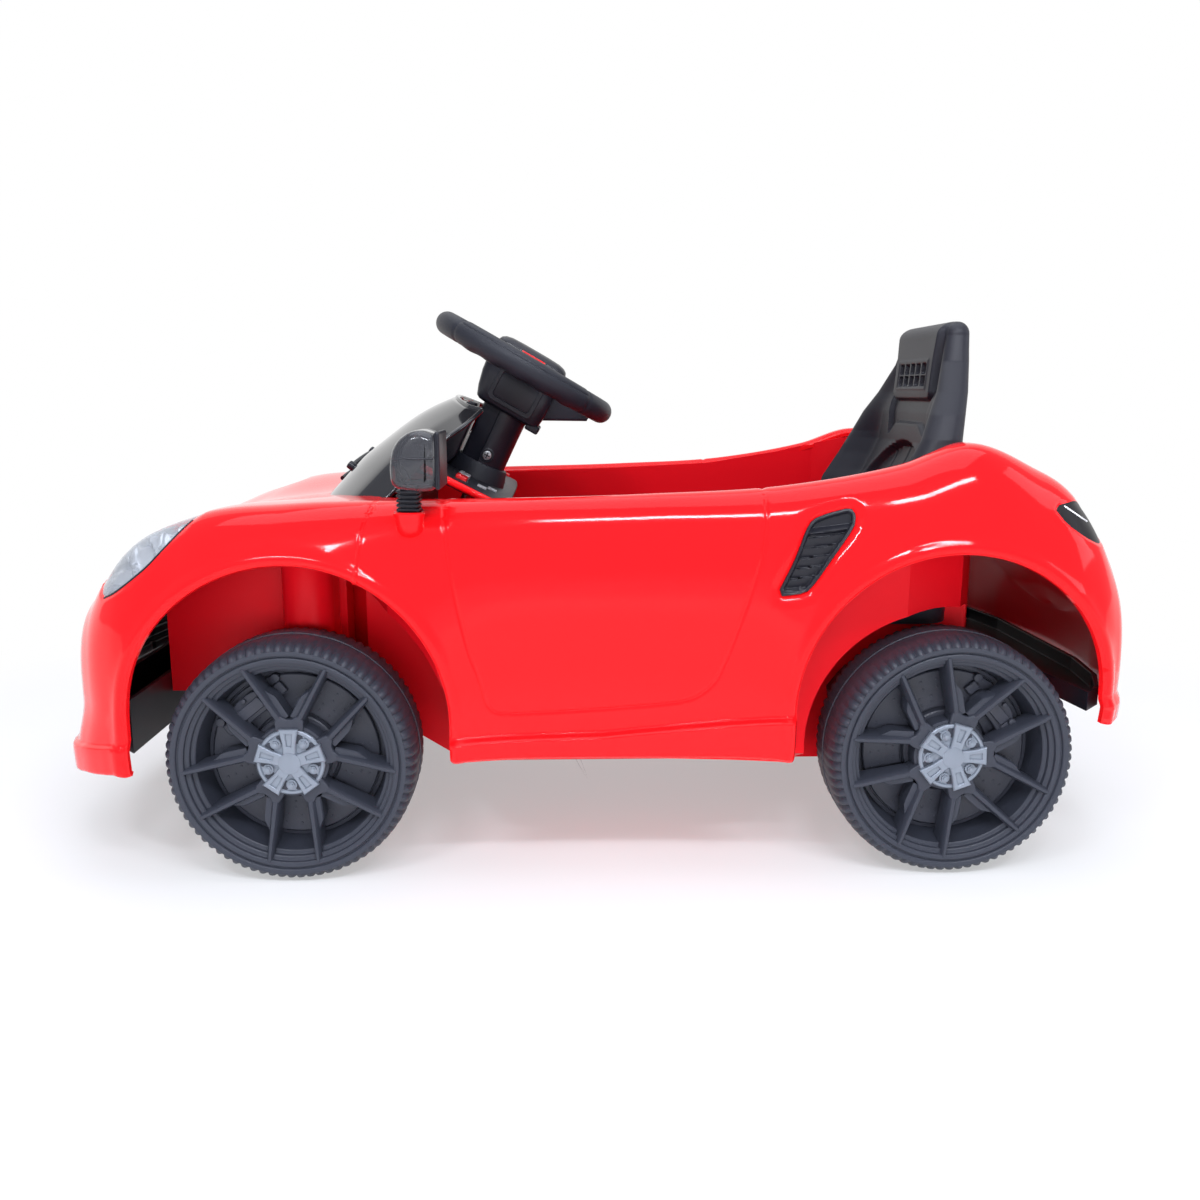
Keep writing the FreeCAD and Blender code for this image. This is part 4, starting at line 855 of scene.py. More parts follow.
def spokeArm(sign):
    # One arm of a fork, ridge-shaped, from the fork root to the rim ring.
    start, end = np.array((8.2 * sign, 37.5)), np.array((36.2 * sign, 87.5))
    way = (end - start) / np.linalg.norm(end - start)
    side = np.array((way[1], -way[0]))
    rings, shelf = [], []
    for t in np.linspace(0, 1, 14):
        middle = start + (end - start) * t
        base, top = 9.0 - 2.6 * t, 4.6 - 1.4 * t
        crest = np.interp(t, (0, 0.12, 0.5, 0.85, 1), (29.8, 31.8, 34.6, 38.0, 38.7))
        section = ((-base / 2, 12), (-base / 2, crest - 6), (-top / 2 - 0.5, crest - 1.4), (-top / 2 + 0.5, crest),
                   (top / 2 - 0.5, crest), (top / 2 + 0.5, crest - 1.4), (base / 2, crest - 6), (base / 2, 12))
        rings.append([(*(middle + side * s), c) for s, c in section])
        if t < 0.62:
            inner = 5.6 * (1 - softStep((t - 0.34) / 0.24)) + 0.8
            low, high = (-inner - 2.5, 1) if sign > 0 else (-1, inner + 2.5)
            level = np.interp(t, (0, 0.3, 0.62), (27.5, 28.4, 29.0))
            shelf.append([(*(middle + side * s), c) for s, c in
                          ((low, 12), (low, level - 1.2), (low + 0.9, level), (high, level), (high, 12))])
    return joined(loftShape(rings), loftShape(shelf))


forkRoot = slab(chaikin(wheel["forkRoot"], 2, True), 12, 30.5, 1.6)
oneFork = joined(spokeArm(1), spokeArm(-1), forkRoot)
outerHalf = joined(tyreHalf(wheel["rimFace"], False), turnedShape(wheel["hubDrum"], 60),
                   *[turnedZ(oneFork, turn) for turn in forkTurns])
backRib = softBox((32, 80), (-1.6, 1.6), (-26, -11), 0.9)
innerHalf = joined(tyreHalf(wheel["backFace"], True), *[turnedZ(backRib, 36 * k + 18) for k in range(10)])

# Brake behind the spokes: a drilled disc and a caliper, as relief on the inner half.
brake = {
    "disc": ((81.2, -1), (80.6, 2), (77.4, 2.4), (76.8, 1.2), (76, 1.2), (75.6, 5.2), (74.8, 6), (41.5, 6),
             (40.6, 5.2), (40, 3.4), (39, 3.4), (38.2, 9), (37, 10), (30, 10), (30, -1)),
    "drillRows": ((68, 1), (60.5, -2), (53, 1.5), (47, -1)),  # radius and turn of each row
    "caliper": ((-23, 44), (-24, 58), (-18, 66), (-9, 71), (9, 71), (18, 66), (24, 58), (23, 44), (12, 49),
                (-12, 49)),
    "caliperTurn": 39,
}
drillings = []
for turn in forkTurns:
    for i, (radius, spread) in enumerate(brake["drillRows"]):
        for j in range(-2, 3):
            angle = math.radians(turn + 54 + 12.4 * j + 3 * i + spread)
            drillings.append(disc(1.25, 5.6, 6.5, 0.3, 8, (radius * math.cos(angle), radius * math.sin(angle))))
caliperParts = [slab(chaikin(brake["caliper"], 1, True), 4, 15, 1.4), softBox((-13, 13), (53, 64), (14, 18.5), 1.2),
                softBox((-21, -14), (52, 60), (14, 17), 1), softBox((14, 21), (52, 60), (14, 17), 1),
                disc(3.4, 14, 19.5, 0.8, 16, (-17.5, 63)), disc(3.4, 14, 19.5, 0.8, 16, (17.5, 63)),
                disc(2.2, 14, 18, 0.6, 12, (0, 68)), softBox((-34, -25), (50, 62), (4, 11), 1.4),
                softBox((26, 35), (50, 62), (4, 11), 1.4), disc(4.2, 4, 10, 1, 16, (-33, 66)),
                disc(4.2, 4, 10, 1, 16, (33, 66))]
caliper = turnedZ(joined(*caliperParts), brake["caliperTurn"])
brakeRelief = joined(turnedShape(brake["disc"], 96), *drillings, caliper)

# Hub cap: five slotted arms with a bolt head between each two.
cap = {
    "plate": ((0.1, 30.8), (14, 30.8), (15, 30.2), (26.6, 30.2), (27.6, 31.4), (29.6, 31.4), (30.6, 30.4),
              (30.8, 28.2), (0.1, 28.2)),
    "arm": ((-5.4, 5), (5.4, 5), (6.0, 18), (8.6, 31.2), (-8.6, 31.2), (-6.0, 18)),
    "slot": ((-1.9, 15.5), (1.9, 15.5), (2.2, 18), (2.9, 27), (-2.9, 27), (-2.2, 18)),
    "boltCircle": 21.2,
}


def capArm():
    outer, slot = np.array(cap["arm"]), np.array(cap["slot"])
    levels = ((outer, 29.5), (outer, 34.0), (insetLoop(outer, 0.9), 35.0), (insetLoop(slot, -0.6), 35.0),
              (slot, 34.4), (slot, 33.2))
    return loftShape([np.c_[loop, np.full(6, z)] for loop, z in levels])


def capBolt(turn):
    angle = math.radians(36 + turn)
    at = (cap["boltCircle"] * math.sin(angle), cap["boltCircle"] * math.cos(angle))
    return joined(disc(5.0, 29.8, 31.6, 0.6, 20, at), disc(3.6, 31, 33.6, 0.6, 6, at),
                  disc(2.2, 33, 34.6, 0.6, 14, at))


hubCap = joined(turnedShape(cap["plate"], 80), disc(10.2, 30, 35.6, 1.1, 36),
                *[turnedZ(capArm(), turn) for turn in forkTurns], *[capBolt(turn) for turn in forkTurns])
wheelMeshes = {"wheel_outer": makeMesh("wheelOuter", outerHalf, wheelBlack),
               "wheel_inner": makeMesh("wheelInner", innerHalf, wheelBlack),
               "brake": makeMesh("brakeRelief", brakeRelief, darkDisc),
               "hub_cap": makeMesh("hubCap", hubCap, silverPaint)}
for end, x in wheel["places"].items():
    for side, sign in (("left", -1), ("right", 1)):
        place = Matrix.Translation((x * mm, sign * wheel["hubY"] * mm, wheel["axleZ"] * mm))
        if sign > 0:
            place = place @ Matrix.Rotation(math.pi, 4, "Z")
        if end == "rear":
            place = place @ Matrix.Rotation(math.radians(wheel["rearTurn"]), 4, "Y")
        place = place @ Matrix.Rotation(math.pi / 2, 4, "X")
        for kind, mesh in wheelMeshes.items():
            nodes = [] if kind == "brake" else [f"{kind}_{end}_{side}"]
            slotName = "silver" if kind == "hub_cap" else "wheel_black"
            placePiece(f"{mesh.name}_{end}_{side}", mesh, place, f"wheel_{end}_{side}", nodes)
print("wheels built")

# Seat: blow-moulded back with headrest, and the cushion it grows out of.
seat = {
    # Height, front, back, half width and corner radius.
    "levels": np.array([(214, 252, 352, 138, 30), (248, 255, 352, 140, 30), (340, 279, 352, 148, 24),
                        (370, 299, 352, 147, 20), (395, 313, 354, 142, 17), (418, 323, 359, 130, 15),
                        (440, 335, 366, 112, 13), (470, 346, 374, 86, 11), (496, 352, 376, 76, 11),
                        (511, 353, 376, 75, 11)], float),
    "top": 510.0, "crown": 13.0,
    "pad": (62.0, 431.0, 10.0), "padFace": ((425, 440, 500, 520), (343, 340, 345, 347)),
    "hollow": ((214, 300, 350, 387, 395, 407, 420, 430, 450, 470, 500, 520),
               (20, 28, 34, 28, 24, 19.5, 14, 11, 10, 9, 6, 0)),
    "panel": (66.0, 394.0, 5.0), "arch": (92.0, 318.0, 69.0, 11.0), "ribs": (38.0, 1.6, 2.0),
    "grille": (45.0, 445.5, 469.5),
    "slots": (18.0, 6.9, 6.2, 5.2, 8.0),  # pitch, half width, row offset, half height, depth
}


def seatRelief(y, z):
    # Depth of the front face behind its plain surface.
    front, wide = (np.interp(z, seat["levels"][:, 0], seat["levels"][:, k]) for k in (1, 3))
    ratio = np.abs(y) / wide
    depth = np.interp(z, *seat["hollow"]) * (1 - softStep((ratio - 0.64) / 0.28))
    half, low, corner = seat["pad"]
    beside = half + 3 * softStep((z - 470) / 30) - np.abs(y)
    pad = softStep((corner - np.hypot(np.maximum(corner - beside, 0), np.maximum(corner - z + low, 0)) + 2) / 5)
    half, low, rise = seat["panel"]
    floor = low + 13 * (1 - softStep((np.abs(y) - 34) / 30))
    inside = np.minimum(half - np.abs(y) * (1 + (440 - z) * 0.0015), z - floor)
    depth += rise * softStep((inside + 1) / 3) * softStep((475 - z) / 20)
    reachY, archZ, reachZ, rise = seat["arch"]
    arch = 1 - np.sqrt((y / reachY) ** 2 + (np.maximum(z - archZ, 0) / reachZ) ** 2)
    inArch = softStep((arch * 64 + 2) / 7)
    pitch, spread, deep = seat["ribs"]
    depth += inArch * (rise + deep * ridges(y, pitch, spread) * softStep(arch * 64 / 8))
    depth += (np.interp(z, *seat["padFace"]) - front - depth) * pad
    half, low, high = seat["grille"]
    rim = np.maximum(np.abs(y) - half, np.maximum(low - z, z - high))
    depth -= 1.2 * np.exp(-((rim - 2.2) / 1.6) ** 2) * pad
    pitch, wideSlot, offset, highSlot, deep = seat["slots"]
    acrossSlot = np.abs((y + pitch / 2) % pitch - pitch / 2)
    upSlot = np.abs(np.abs(z - (low + high) / 2) - offset)
    slots = softStep((wideSlot - acrossSlot) / 1.2) * softStep((highSlot - upSlot) / 1.2)
    depth += deep * slots * (np.abs(y) < half)
    crease = np.exp(-((ratio - 0.93) / 0.018) ** 2) * softStep((z - 330) / 60) * softStep((490 - z) / 30)
    return depth + 1.2 * crease


def cornerArc(start, cx, cy, radius):
    angles = [math.radians(start - 90 * k / 8) for k in range(1, 9)]
    return [(cx + radius * math.cos(angle), cy + radius * math.sin(angle)) for angle in angles]


def seatRing(z):
    front, back, half, radius = [np.interp(z, seat["levels"][:, 0], seat["levels"][:, k]) for k in range(1, 5)]
    over = np.clip((z - (seat["top"] - seat["crown"])) / seat["crown"], 0, 1)
    shrink = 1 - math.sqrt(max(1 - over * over, 0))
    half, front, back = half - 15 * shrink, front + 11 * shrink, back - 10 * shrink
    radius = min(radius, (back - front) * 0.42)
    flat = half - radius
    ring = [(front + (1 - shrink) * seatRelief(np.array([y]), np.array([z]))[0], y)
            for y in np.linspace(-flat, flat, 170)]
    ring += cornerArc(180, front + radius, flat, radius) + cornerArc(90, back - radius, flat, radius)
    ring += [(back, flat * (1 - 2 * k / 15)) for k in range(1, 16)]
    ring += cornerArc(0, back - radius, -flat, radius) + cornerArc(-90, front + radius, -flat, radius)
    return [(x, y, z) for x, y in ring[:-1]]


seatHeights = np.concatenate((np.arange(214, 318, 8.0), np.arange(318, 388, 3.0), np.arange(388, 497, 1.15),
                              497 + 13 * np.sin(np.linspace(0, math.pi / 2, 9))))
seatBack = loftShape([seatRing(z) for z in seatHeights])
cushion = {"x": (216, 80), "half": 112, "z": (204.6, 45.4), "bowl": 6, "pleats": (26.0, 1.8, 2.4), "squareness": 7}
spacing = np.sin(np.linspace(-math.pi / 2, math.pi / 2, 57))
u, v = np.meshgrid(spacing, spacing, indexing="ij")
power = cushion["squareness"]
crown = (1 - np.abs(u) ** power) ** (1 / power) * (1 - np.abs(v) ** power) ** (1 / power)
cushionY = v * cushion["half"]
pitch, spread, deep = cushion["pleats"]
pleats = ridges(cushionY, pitch, spread) * softStep((0.72 - np.abs(v)) / 0.05) * softStep((0.78 - np.abs(u)) / 0.06)
bowl = cushion["bowl"] * (1 - softStep((np.abs(v) - 0.45) / 0.4))
cushionX = cushion["x"][0] + u * cushion["x"][1]
cushionZ = cushion["z"][0] + (cushion["z"][1] - bowl - deep * pleats) * crown
cushionTop = gridShape(np.stack((cushionX, cushionY, cushionZ), -1))
addPiece("seatShell", joined(seatBack, cushionTop), seatBlack, "chassis", ["seat"], sharp=42)
print("seat built")

# Inserts set into the skin: side vents, lamps and the front grille.
inserts = {
    "louvre": 8.45, "louvreZ": 316.8, "bowls": ((-429, 280, 14.0), (-408, 300, 13.0), (-385, 317, 9.0)),
    "tailLine": ((411, 341.5), (419, 336.7), (428, 331.5), (438, 326.5)), "slat": 17.0,
    "lampSeal": ((-438, 260.5), (-425, 266.5), (-409, 277.5), (-394, 289.5), (-382, 303), (-371, 316),
                 (-360, 328.5)),
}


def ventRelief(base):
    where = np.stack((base[:, 0], base[:, 2]), 1)
    inner = pathDistance(where, ventEdge, True)
    level = (base[:, 2] - 0.14 * (base[:, 0] - 189) - inserts["louvreZ"]) / inserts["louvre"]
    upper = np.interp(level, (0, 0.3, 0.38, 1.05, 1.2, 2.6), (-3.2, -2.6, 0.8, -3.4, -3.0, 1.0))
    blade = np.where(level < 0, 0.6 - 3.8 * (1 - level % 1), upper)
    frameBand = softStep((inner - 2.2) / 1.2)
    return 3.2 * (1 - frameBand) + frameBand * blade


def lampRelief(base):
    where = np.stack((base[:, 0], base[:, 2]), 1)
    inner = pathDistance(where, headlightEdge, True)
    depth = -8.0 * softStep(inner / 9) - 0.8
    for x, z, radius in inserts["bowls"]:
        away = np.hypot(base[:, 0] - x, base[:, 2] - z) / radius
        depth -= 7 * np.sqrt(np.clip(1 - away * away, 0, 1))
        depth += 1.0 * np.exp(-((away - 1.05) / 0.12) ** 2)
    return depth


def grilleRelief(base):
    level = (base[:, 2] - 143) / inserts["slat"]
    bar = np.abs((level % 1) - 0.5) * 2
    top = np.interp(base[:, 1], *zip(*body["grille"][:3]))
    frameBand = np.minimum(np.minimum(top - base[:, 2], base[:, 2] - 140), 172 - base[:, 1])
    bars = np.maximum(5.2 * softStep((bar - 0.42) / 0.2), 2.6 * ridges(base[:, 1], 48, 2.4))
    return np.where(frameBand < 5, 0.6, -7.0 + bars)


for name, region, relief, look, slotName, thick, nodeKind in (
        ("sideVent", "vent", ventRelief, satinBlack, "black_trim", 1.5, "side_vent"),
        ("headlightLens", "headlight", None, clearLens, "clear", 0.0, "headlight_lens"),
        ("headlightHousing", "headlight", lampRelief, platedBright, "reflector", 0.8, "headlight_housing"),
        ("tailLens", "tail", None, tailDark, "dark_lens", 2.0, "tail_lens")):
    points, faces, normals, tags = skinShape(bodyMap, bodyRegions[region], thick, relief, False)
    if not thick:
        faces = faces[:len(bodyRegions[region])]  # the clear lens is a single skin
    for side, sign in (("left", 1), ("right", -1)):
        way = np.array((1, sign, 1))
        sideFaces = faces if sign > 0 else [f[::-1] for f in faces]
        addPiece(f"{name}_{side}", (points * way, sideFaces), look, "chassis", [f"{nodeKind}_{side}"],
                 normals=normals * way)
points, faces, normals, tags = skinShape(bodyMap, bodyRegions["grille"], 2.0, grilleRelief)
addPiece("frontGrille", (points, faces), satinBlack, "chassis", ["front_grille"], normals=normals)
for name, size, look in (("tailLine", 0.9, paleLine), ("lampSeal", 1.0, satinBlack)):
    linePath = pathPoints(chaikin(inserts[name], 2), 2.0)
    lineDomain = np.stack((linePath[:, 0], girthAtZ(linePath[:, 0], linePath[:, 1])), 1)
    lineShape = tubeShape(bodyPoints(lineDomain)[0] * np.array((1, -1, 1)), size, 8)
    for side, handed in bothHands:
        addPiece(f"{name}_{side}", handed(lineShape), look, "chassis")

# Wraparound windscreen with the moulded wiper arms.
screen = {
    # Height, front, back and half width.
    "levels": np.array([(310, -298, -226, 182), (322, -289, -216, 176), (335, -279, -206, 170),
                        (374, -242, -168, 152), (408, -198, -135, 130), (424, -173, -123, 114),
                        (434, -148, -115, 98), (446, -118, -104, 80)], float),
    "top": 434.0, "wall": 6.0, "crease": (0.42, 0.89), "cornerDrop": 13.0, "bead": 2.3,
}


def screenLevel(z):
    spread = z + np.linspace(-7, 7, 9)
    return [np.mean(np.interp(spread, screen["levels"][:, 0], screen["levels"][:, k])) for k in range(1, 4)]


def screenFront(z, y):
    # Outer face ahead of the crease where the flank begins.
    front, back, half = screenLevel(z)
    creaseX, creaseY = back + screen["crease"][0] * (front - back), screen["crease"][1] * half
    return front + (creaseX - front) * (abs(y) / creaseY) ** 2.2


def screenPlan(z, inset=0.0):
    front, back, half = screenLevel(z)
    creaseX, creaseY = back + screen["crease"][0] * (front - back), screen["crease"][1] * half
    flank = [(creaseX + (back - creaseX) * t, creaseY + (half - creaseY) * t)
             for t in np.linspace(1, 0, 14, endpoint=False)]
    face = [(screenFront(z, y), y) for y in np.linspace(creaseY, -creaseY, 75)]
    line = np.array(flank + face + [(x, -y) for x, y in reversed(flank)])
    for k in range(5):
        line[1:-1] = (line[:-2] + 2 * line[1:-1] + line[2:]) / 4
    along = np.gradient(line, axis=0)
    along /= np.linalg.norm(along, axis=1)[:, None]
    line = line + inset * np.stack((-along[:, 1], along[:, 0]), 1)
    drop = screen["cornerDrop"] * softStep((z - 388) / 46) * (np.abs(line[:, 1]) / half) ** 2
    return np.c_[line, z - drop]


screenRings = [np.vstack((screenPlan(z), screenPlan(z, screen["wall"])[::-1]))
               for z in np.concatenate((np.linspace(322, 420, 30), np.linspace(422, screen["top"], 9)))]
edgeLine = [screenPlan(z, 3)[0] for z in np.linspace(326, screen["top"], 26)]
edgeLine += list(screenPlan(screen["top"], 3)[1:-1])
edgeLine += [screenPlan(z, 3)[-1] for z in np.linspace(screen["top"], 326, 26)]
screenBead = tubeShape(chaikin(np.array(edgeLine), 1), screen["bead"], 10)


def onScreen(y, z, out):
    return np.array((screenFront(z, y) - out, y, z + 0.8 * out))


wiperShapes = []
for start, end, size in (((-4, 346), (72, 365), 2.5), ((-20, 360), (34, 372), 3.0)):
    spots = [(start[0] + (end[0] - start[0]) * t, start[1] + (end[1] - start[1]) * t)
             for t in np.linspace(0, 1, 14)]
    wiperShapes.append(tubeShape([onScreen(y, z, 2.2) for y, z in spots], size, 10))
    for y, z in (spots[0], spots[-1]) if start[1] > 350 else ():
        lean = Matrix.Translation(onScreen(y, z, 1.0)) @ Matrix.Rotation(math.radians(-50), 4, "Y")
        wiperShapes.append(moved(disc(4.6, -3, 6.0, 1.6, 20), lean))
addPiece("windscreen", joined(loftShape(screenRings), screenBead), screenBlack, "chassis", ["windscreen"],
         sharp=50)
addPiece("wiperArms", joined(*wiperShapes), satinBlack, "chassis")

# Mirrors: smoky shells on ribbed posts, standing in red sockets.
mirror = {
    "x": -166.0, "span": (215.0, 275.0), "edge": 10.0, "seam": 385.0,
    "outline": ((-138, 361), (-136, 398), (-140, 405), (-150, 408.5), (-160, 407), (-169, 401), (-175, 392),
                (-177.5, 379), (-177, 365), (-172, 359.5), (-160, 357.5), (-144, 357.5)),
    "seamPath": ((-140, 275.2), (-150, 275.4), (-160, 275.2), (-168, 273.6), (-174.5, 269), (-177.2, 262),
                 (-177.6, 245), (-177.2, 228)),
    # Height, radius and centre of the socket's rings.
    "socket": ((310, 2, -231), (313, 6, -233), (317, 9, -236), (322, 11.0, -239), (328, 11.8, -240), (334, 13, -240),
               (336.5, 13.8, -240), (337.8, 13.0, -240), (338, 10.6, -240), (330, 10, -240)),
}


def sideways(shape):
    # Turns a shape drawn on X and Z with height outward into place on the left side.
    points, faces = shape
    points = np.asarray(points, float)
    return np.stack((points[:, 0], -points[:, 2], points[:, 1]), 1), faces


mirrorOutline = chaikin(mirror["outline"], 2, True)
mirrorShell = sideways(slab(mirrorOutline, mirror["span"][0], mirror["span"][1], mirror["edge"], 5))
seamPath = np.array([(x, mirror["seam"], y) for x, y in mirror["seamPath"]])
seamShape = sideways(tubeShape(seamPath, 0.7, 8))
flange = sideways(slab(roundedRect(-139.5, -135, 359, 407, 2.2), 217, 273, 2.0))
ribs = [softBox((-176, -156), (-249, -231), (z, z + 2.5), 0.8, 2.5) for z in np.arange(338.6, 357, 3.9)]
post = joined(softBox((-173, -159), (-246, -234), (326, 360), 1.5), *ribs)
turns = np.linspace(0, 2 * math.pi, 36, endpoint=False)
socketRings = [(mirror["x"] + radius * np.cos(turns), y + radius * np.sin(turns), np.full(36, float(z)))
               for z, radius, y in mirror["socket"]]
socket = loftShape([np.stack(ring, 1) for ring in socketRings])
for side, handed in bothHands:
    onMirror = f"mirror_{side}"
    addPiece(f"mirrorShell_{side}", handed(mirrorShell), smokeShell, onMirror, [f"mirror_housing_{side}"])
    addPiece(f"mirrorTrim_{side}", handed(joined(seamShape, flange)), satinBlack, onMirror)
    addPiece(f"mirrorPost_{side}", handed(post), satinBlack, onMirror)
    addPiece(f"mirrorSocket_{side}", handed(socket), redGloss, "chassis", ())
print("lamps, vents, screen and mirrors built")

# Steering wheel and column, drawn about the column axis with +X towards the driver.
# The wheel leans back a little more than the column.
steering = {
    "at": (-74.0, 0.0, 464.0), "tilt": 25.6, "rake": 4.0, "ring": 92.0, "grip": 12.5, "gripAngle": 47.0,
    "sleeve": 25.0,
    # Height, x limits, half width and corner radius.
    "hub": ((-51, -22, 36, 27, 8), (-50.4, -26, 39, 30, 9), (-48, -29.5, 42, 33, 9), (-38, -33, 43, 36, 9),
            (-22, -36.5, 43, 38, 9), (-12, -37.5, 42, 38.4, 9), (-9, -36, 41, 37.5, 9), (-8, -34, 39, 35, 8)),
    "pad": ((-9, -30, 32, 34, 9), (5.4, -30, 32, 35, 9), (5.6, -34, 40, 38, 10), (7, -36, 42, 40, 11),
            (13, -36, 42, 40, 12), (16.5, -34.5, 40.5, 38, 12), (19, -31, 37, 34, 12), (20.6, -25, 31, 27, 11),
            (21.2, -14, 20, 15, 8), (21.3, -5, 11, 6, 3)),
    "sleeveFlat": ((-3.4, 19.4), (-4.6, 18.4), (-18.6, 17.0), (-21.4, 15.2), (-23, 12)),
    "sleeveRings": ((-112, 0.97), (-111, 1.0), (-72, 1.0), (-60, 1.01), (-46, 1.02)),
}
columnFrame = Matrix.Translation(steering["at"]) @ Matrix.Rotation(math.radians(steering["tilt"]), 4, "Y")
wheelFrame = columnFrame @ Matrix.Rotation(math.radians(steering["rake"]), 4, "Y")


def onColumn(shape):
    return moved(shape, columnFrame)


def onWheel(shape):
    return moved(shape, wheelFrame)


def rimShape():
    turns = np.linspace(0, 2 * math.pi, 288, endpoint=False)
    rounds = np.linspace(0, 2 * math.pi, 56, endpoint=False)
    a, b = np.meshgrid(turns, rounds, indexing="ij")
    fromSide = np.degrees(np.abs(np.abs((a + math.pi) % (2 * math.pi) - math.pi) - math.pi / 2))
    inGrip = softStep((steering["gripAngle"] - fromSide) / 2.5)
    seam = np.exp(-((fromSide - steering["gripAngle"]) / 0.9) ** 2)
    line = np.exp(-((np.degrees(b) - 40) / 3.6) ** 2)
    under = softStep((np.cos(b - math.radians(250)) - 0.2) / 0.5)
    ripple = under * np.cos(fromSide * 0.36) * 0.5
    tube = steering["grip"] - 0.5 + 0.5 * inGrip - 1.2 * seam - 1.1 * line * inGrip + ripple * inGrip
    radius = steering["ring"] + tube * np.cos(b)
    return gridShape(np.stack((radius * np.cos(a), radius * np.sin(a), tube * np.sin(b)), -1), True, True)


def spokeShape(turn, width, low, high):
    rings = []
    for t in np.linspace(0, 1, 10):
        reach = 26 + (84 - 26) * t
        half = width[0] + (width[1] - width[0]) * softStep(t)
        bottom, top = low[0] + (low[1] - low[0]) * t, high[0] + (high[1] - high[0]) * t
        loop = roundedRect(-half, half, bottom, top, min(3.5, (top - bottom) * 0.3), 3)
        rings.append([(reach, s, c) for s, c in loop])
    return turnedZ(loftShape(rings), turn)


def frameRing(outer, inner, low, high):
    # Raised rim between two rounded outlines.
    rims = [(outer, low), (outer, high - 0.6), (insetLoop(outer, 0.6), high), (insetLoop(inner, -0.6), high),
            (inner, high - 0.6), (inner, low)]
    return gridShape([np.c_[loop, np.full(len(loop), c)] for loop, c in rims], closeU=True, closeV=True)


def stackedRects(levels, steps):
    return loftShape([[(x, y, z) for x, y in roundedRect(x0, x1, -half, half, corner, steps)]
                      for z, x0, x1, half, corner in levels])


rimParts = [rimShape(), spokeShape(90, (20, 13), (-11, -6), (6, 5)), spokeShape(-90, (20, 13), (-11, -6), (6, 5)),
            spokeShape(0, (17, 14), (-48, -16), (3, 2))]
addPiece("steeringRim", onWheel(joined(*rimParts)), grainBlack, "steering", ["steering_rim"],
         sharp=40)
hubParts = [stackedRects(steering["hub"], 5), softBox((30, 45), (-31, -12), (-54.5, -46), 2.0),
            softBox((30, 45), (12, 31), (-54.5, -46), 2.0)]
panelFrame = frameRing(roundedRect(-20, 31, -45, -8, 6), roundedRect(-15, 26, -40, -12, 3.5), -3, 3.2)
panelRibs = [softBox((-14.4 + 2.9 * k, -12.8 + 2.9 * k), (-39, -13), (-1, 1.1), 0.4) for k in range(14)]
stand = (Matrix.Rotation(math.radians(90), 4, "X") @ Matrix.Translation((0, 0, 38.4))
         @ Matrix.Rotation(math.radians(5), 4, "X"))
sidePanel = moved(panelFrame, stand @ Matrix.Translation((0, 0, -1.2)))
panelBack = slab(roundedRect(-16, 27, -41, -11, 3.5), -3, 0.3, 0.2)
panelPlate = moved(joined(panelBack, *panelRibs), stand @ Matrix.Translation((0, 0, -0.2)))
# Hub side panels are the hub's black plastic; their darker black is painted shade of the recess.
addPiece("hubPanels", onWheel(joined(panelPlate, mirroredY(panelPlate))), panelShadeBlack, "steering")
addPiece("steeringHub", onWheel(joined(*hubParts, sidePanel, mirroredY(sidePanel))), satinBlack, "steering",
         ["steering_hub"])
addPiece("hornPad", onWheel(stackedRects(steering["pad"], 6)), satinBlack, "steering", ["horn_pad"])
padBar = softBox((-9, 18), (-40.7, -38.6), (10.6, 14.6), 0.6)
addPiece("padBars", onWheel(joined(padBar, mirroredY(padBar))), redSwitch, "steering")
for side, y in (("left", -60), ("right", 60)):
    button = joined(disc(7, -2, 7.4, 1.2, 28, (0, y)), disc(4.6, 7, 8.2, 0.6, 24, (0, y)))
    addPiece(f"hornButton_{side}", onWheel(button), satinBlack, f"horn_{side}", [f"horn_button_{side}"])
halfRound = [(steering["sleeve"] * math.cos(a), steering["sleeve"] * math.sin(a))
             for a in np.radians(np.linspace(-97, 97, 41))]
flatFront = list(steering["sleeveFlat"])
sleeveLoop = np.array(halfRound + flatFront + [(x, -y) for x, y in reversed(flatFront)])
sleeveRings = [np.c_[sleeveLoop * s, np.full(len(sleeveLoop), z)] for z, s in steering["sleeveRings"]]
addPiece("columnSleeve", onColumn(loftShape(sleeveRings)), satinBlack, "steering", ["column_sleeve"])
boltTurn = Matrix.Translation((3.0, -24.6, -99)) @ Matrix.Rotation(math.radians(90), 4, "X")
boltWell = turnedShape([(5.4, -2.0), (7.6, -2.0), (7.6, 0.7), (7.0, 1.1), (5.8, 1.1), (5.4, 0.7)], 32)
boltCross = joined(softBox((-3.2, 3.2), (-0.7, 0.7), (2.0, 2.5), 0.2),
                   softBox((-0.7, 0.7), (-3.2, 3.2), (2.0, 2.5), 0.2))
boltHead = onColumn(moved(disc(5.0, -0.5, 2.3, 1.2, 28), boltTurn))
addPiece("columnBolt", boltHead, steelGrey, "steering", ["column_bolt"])
addPiece("columnBoltWell", onColumn(moved(joined(boltWell, boltCross), boltTurn)), satinBlack, "steering")

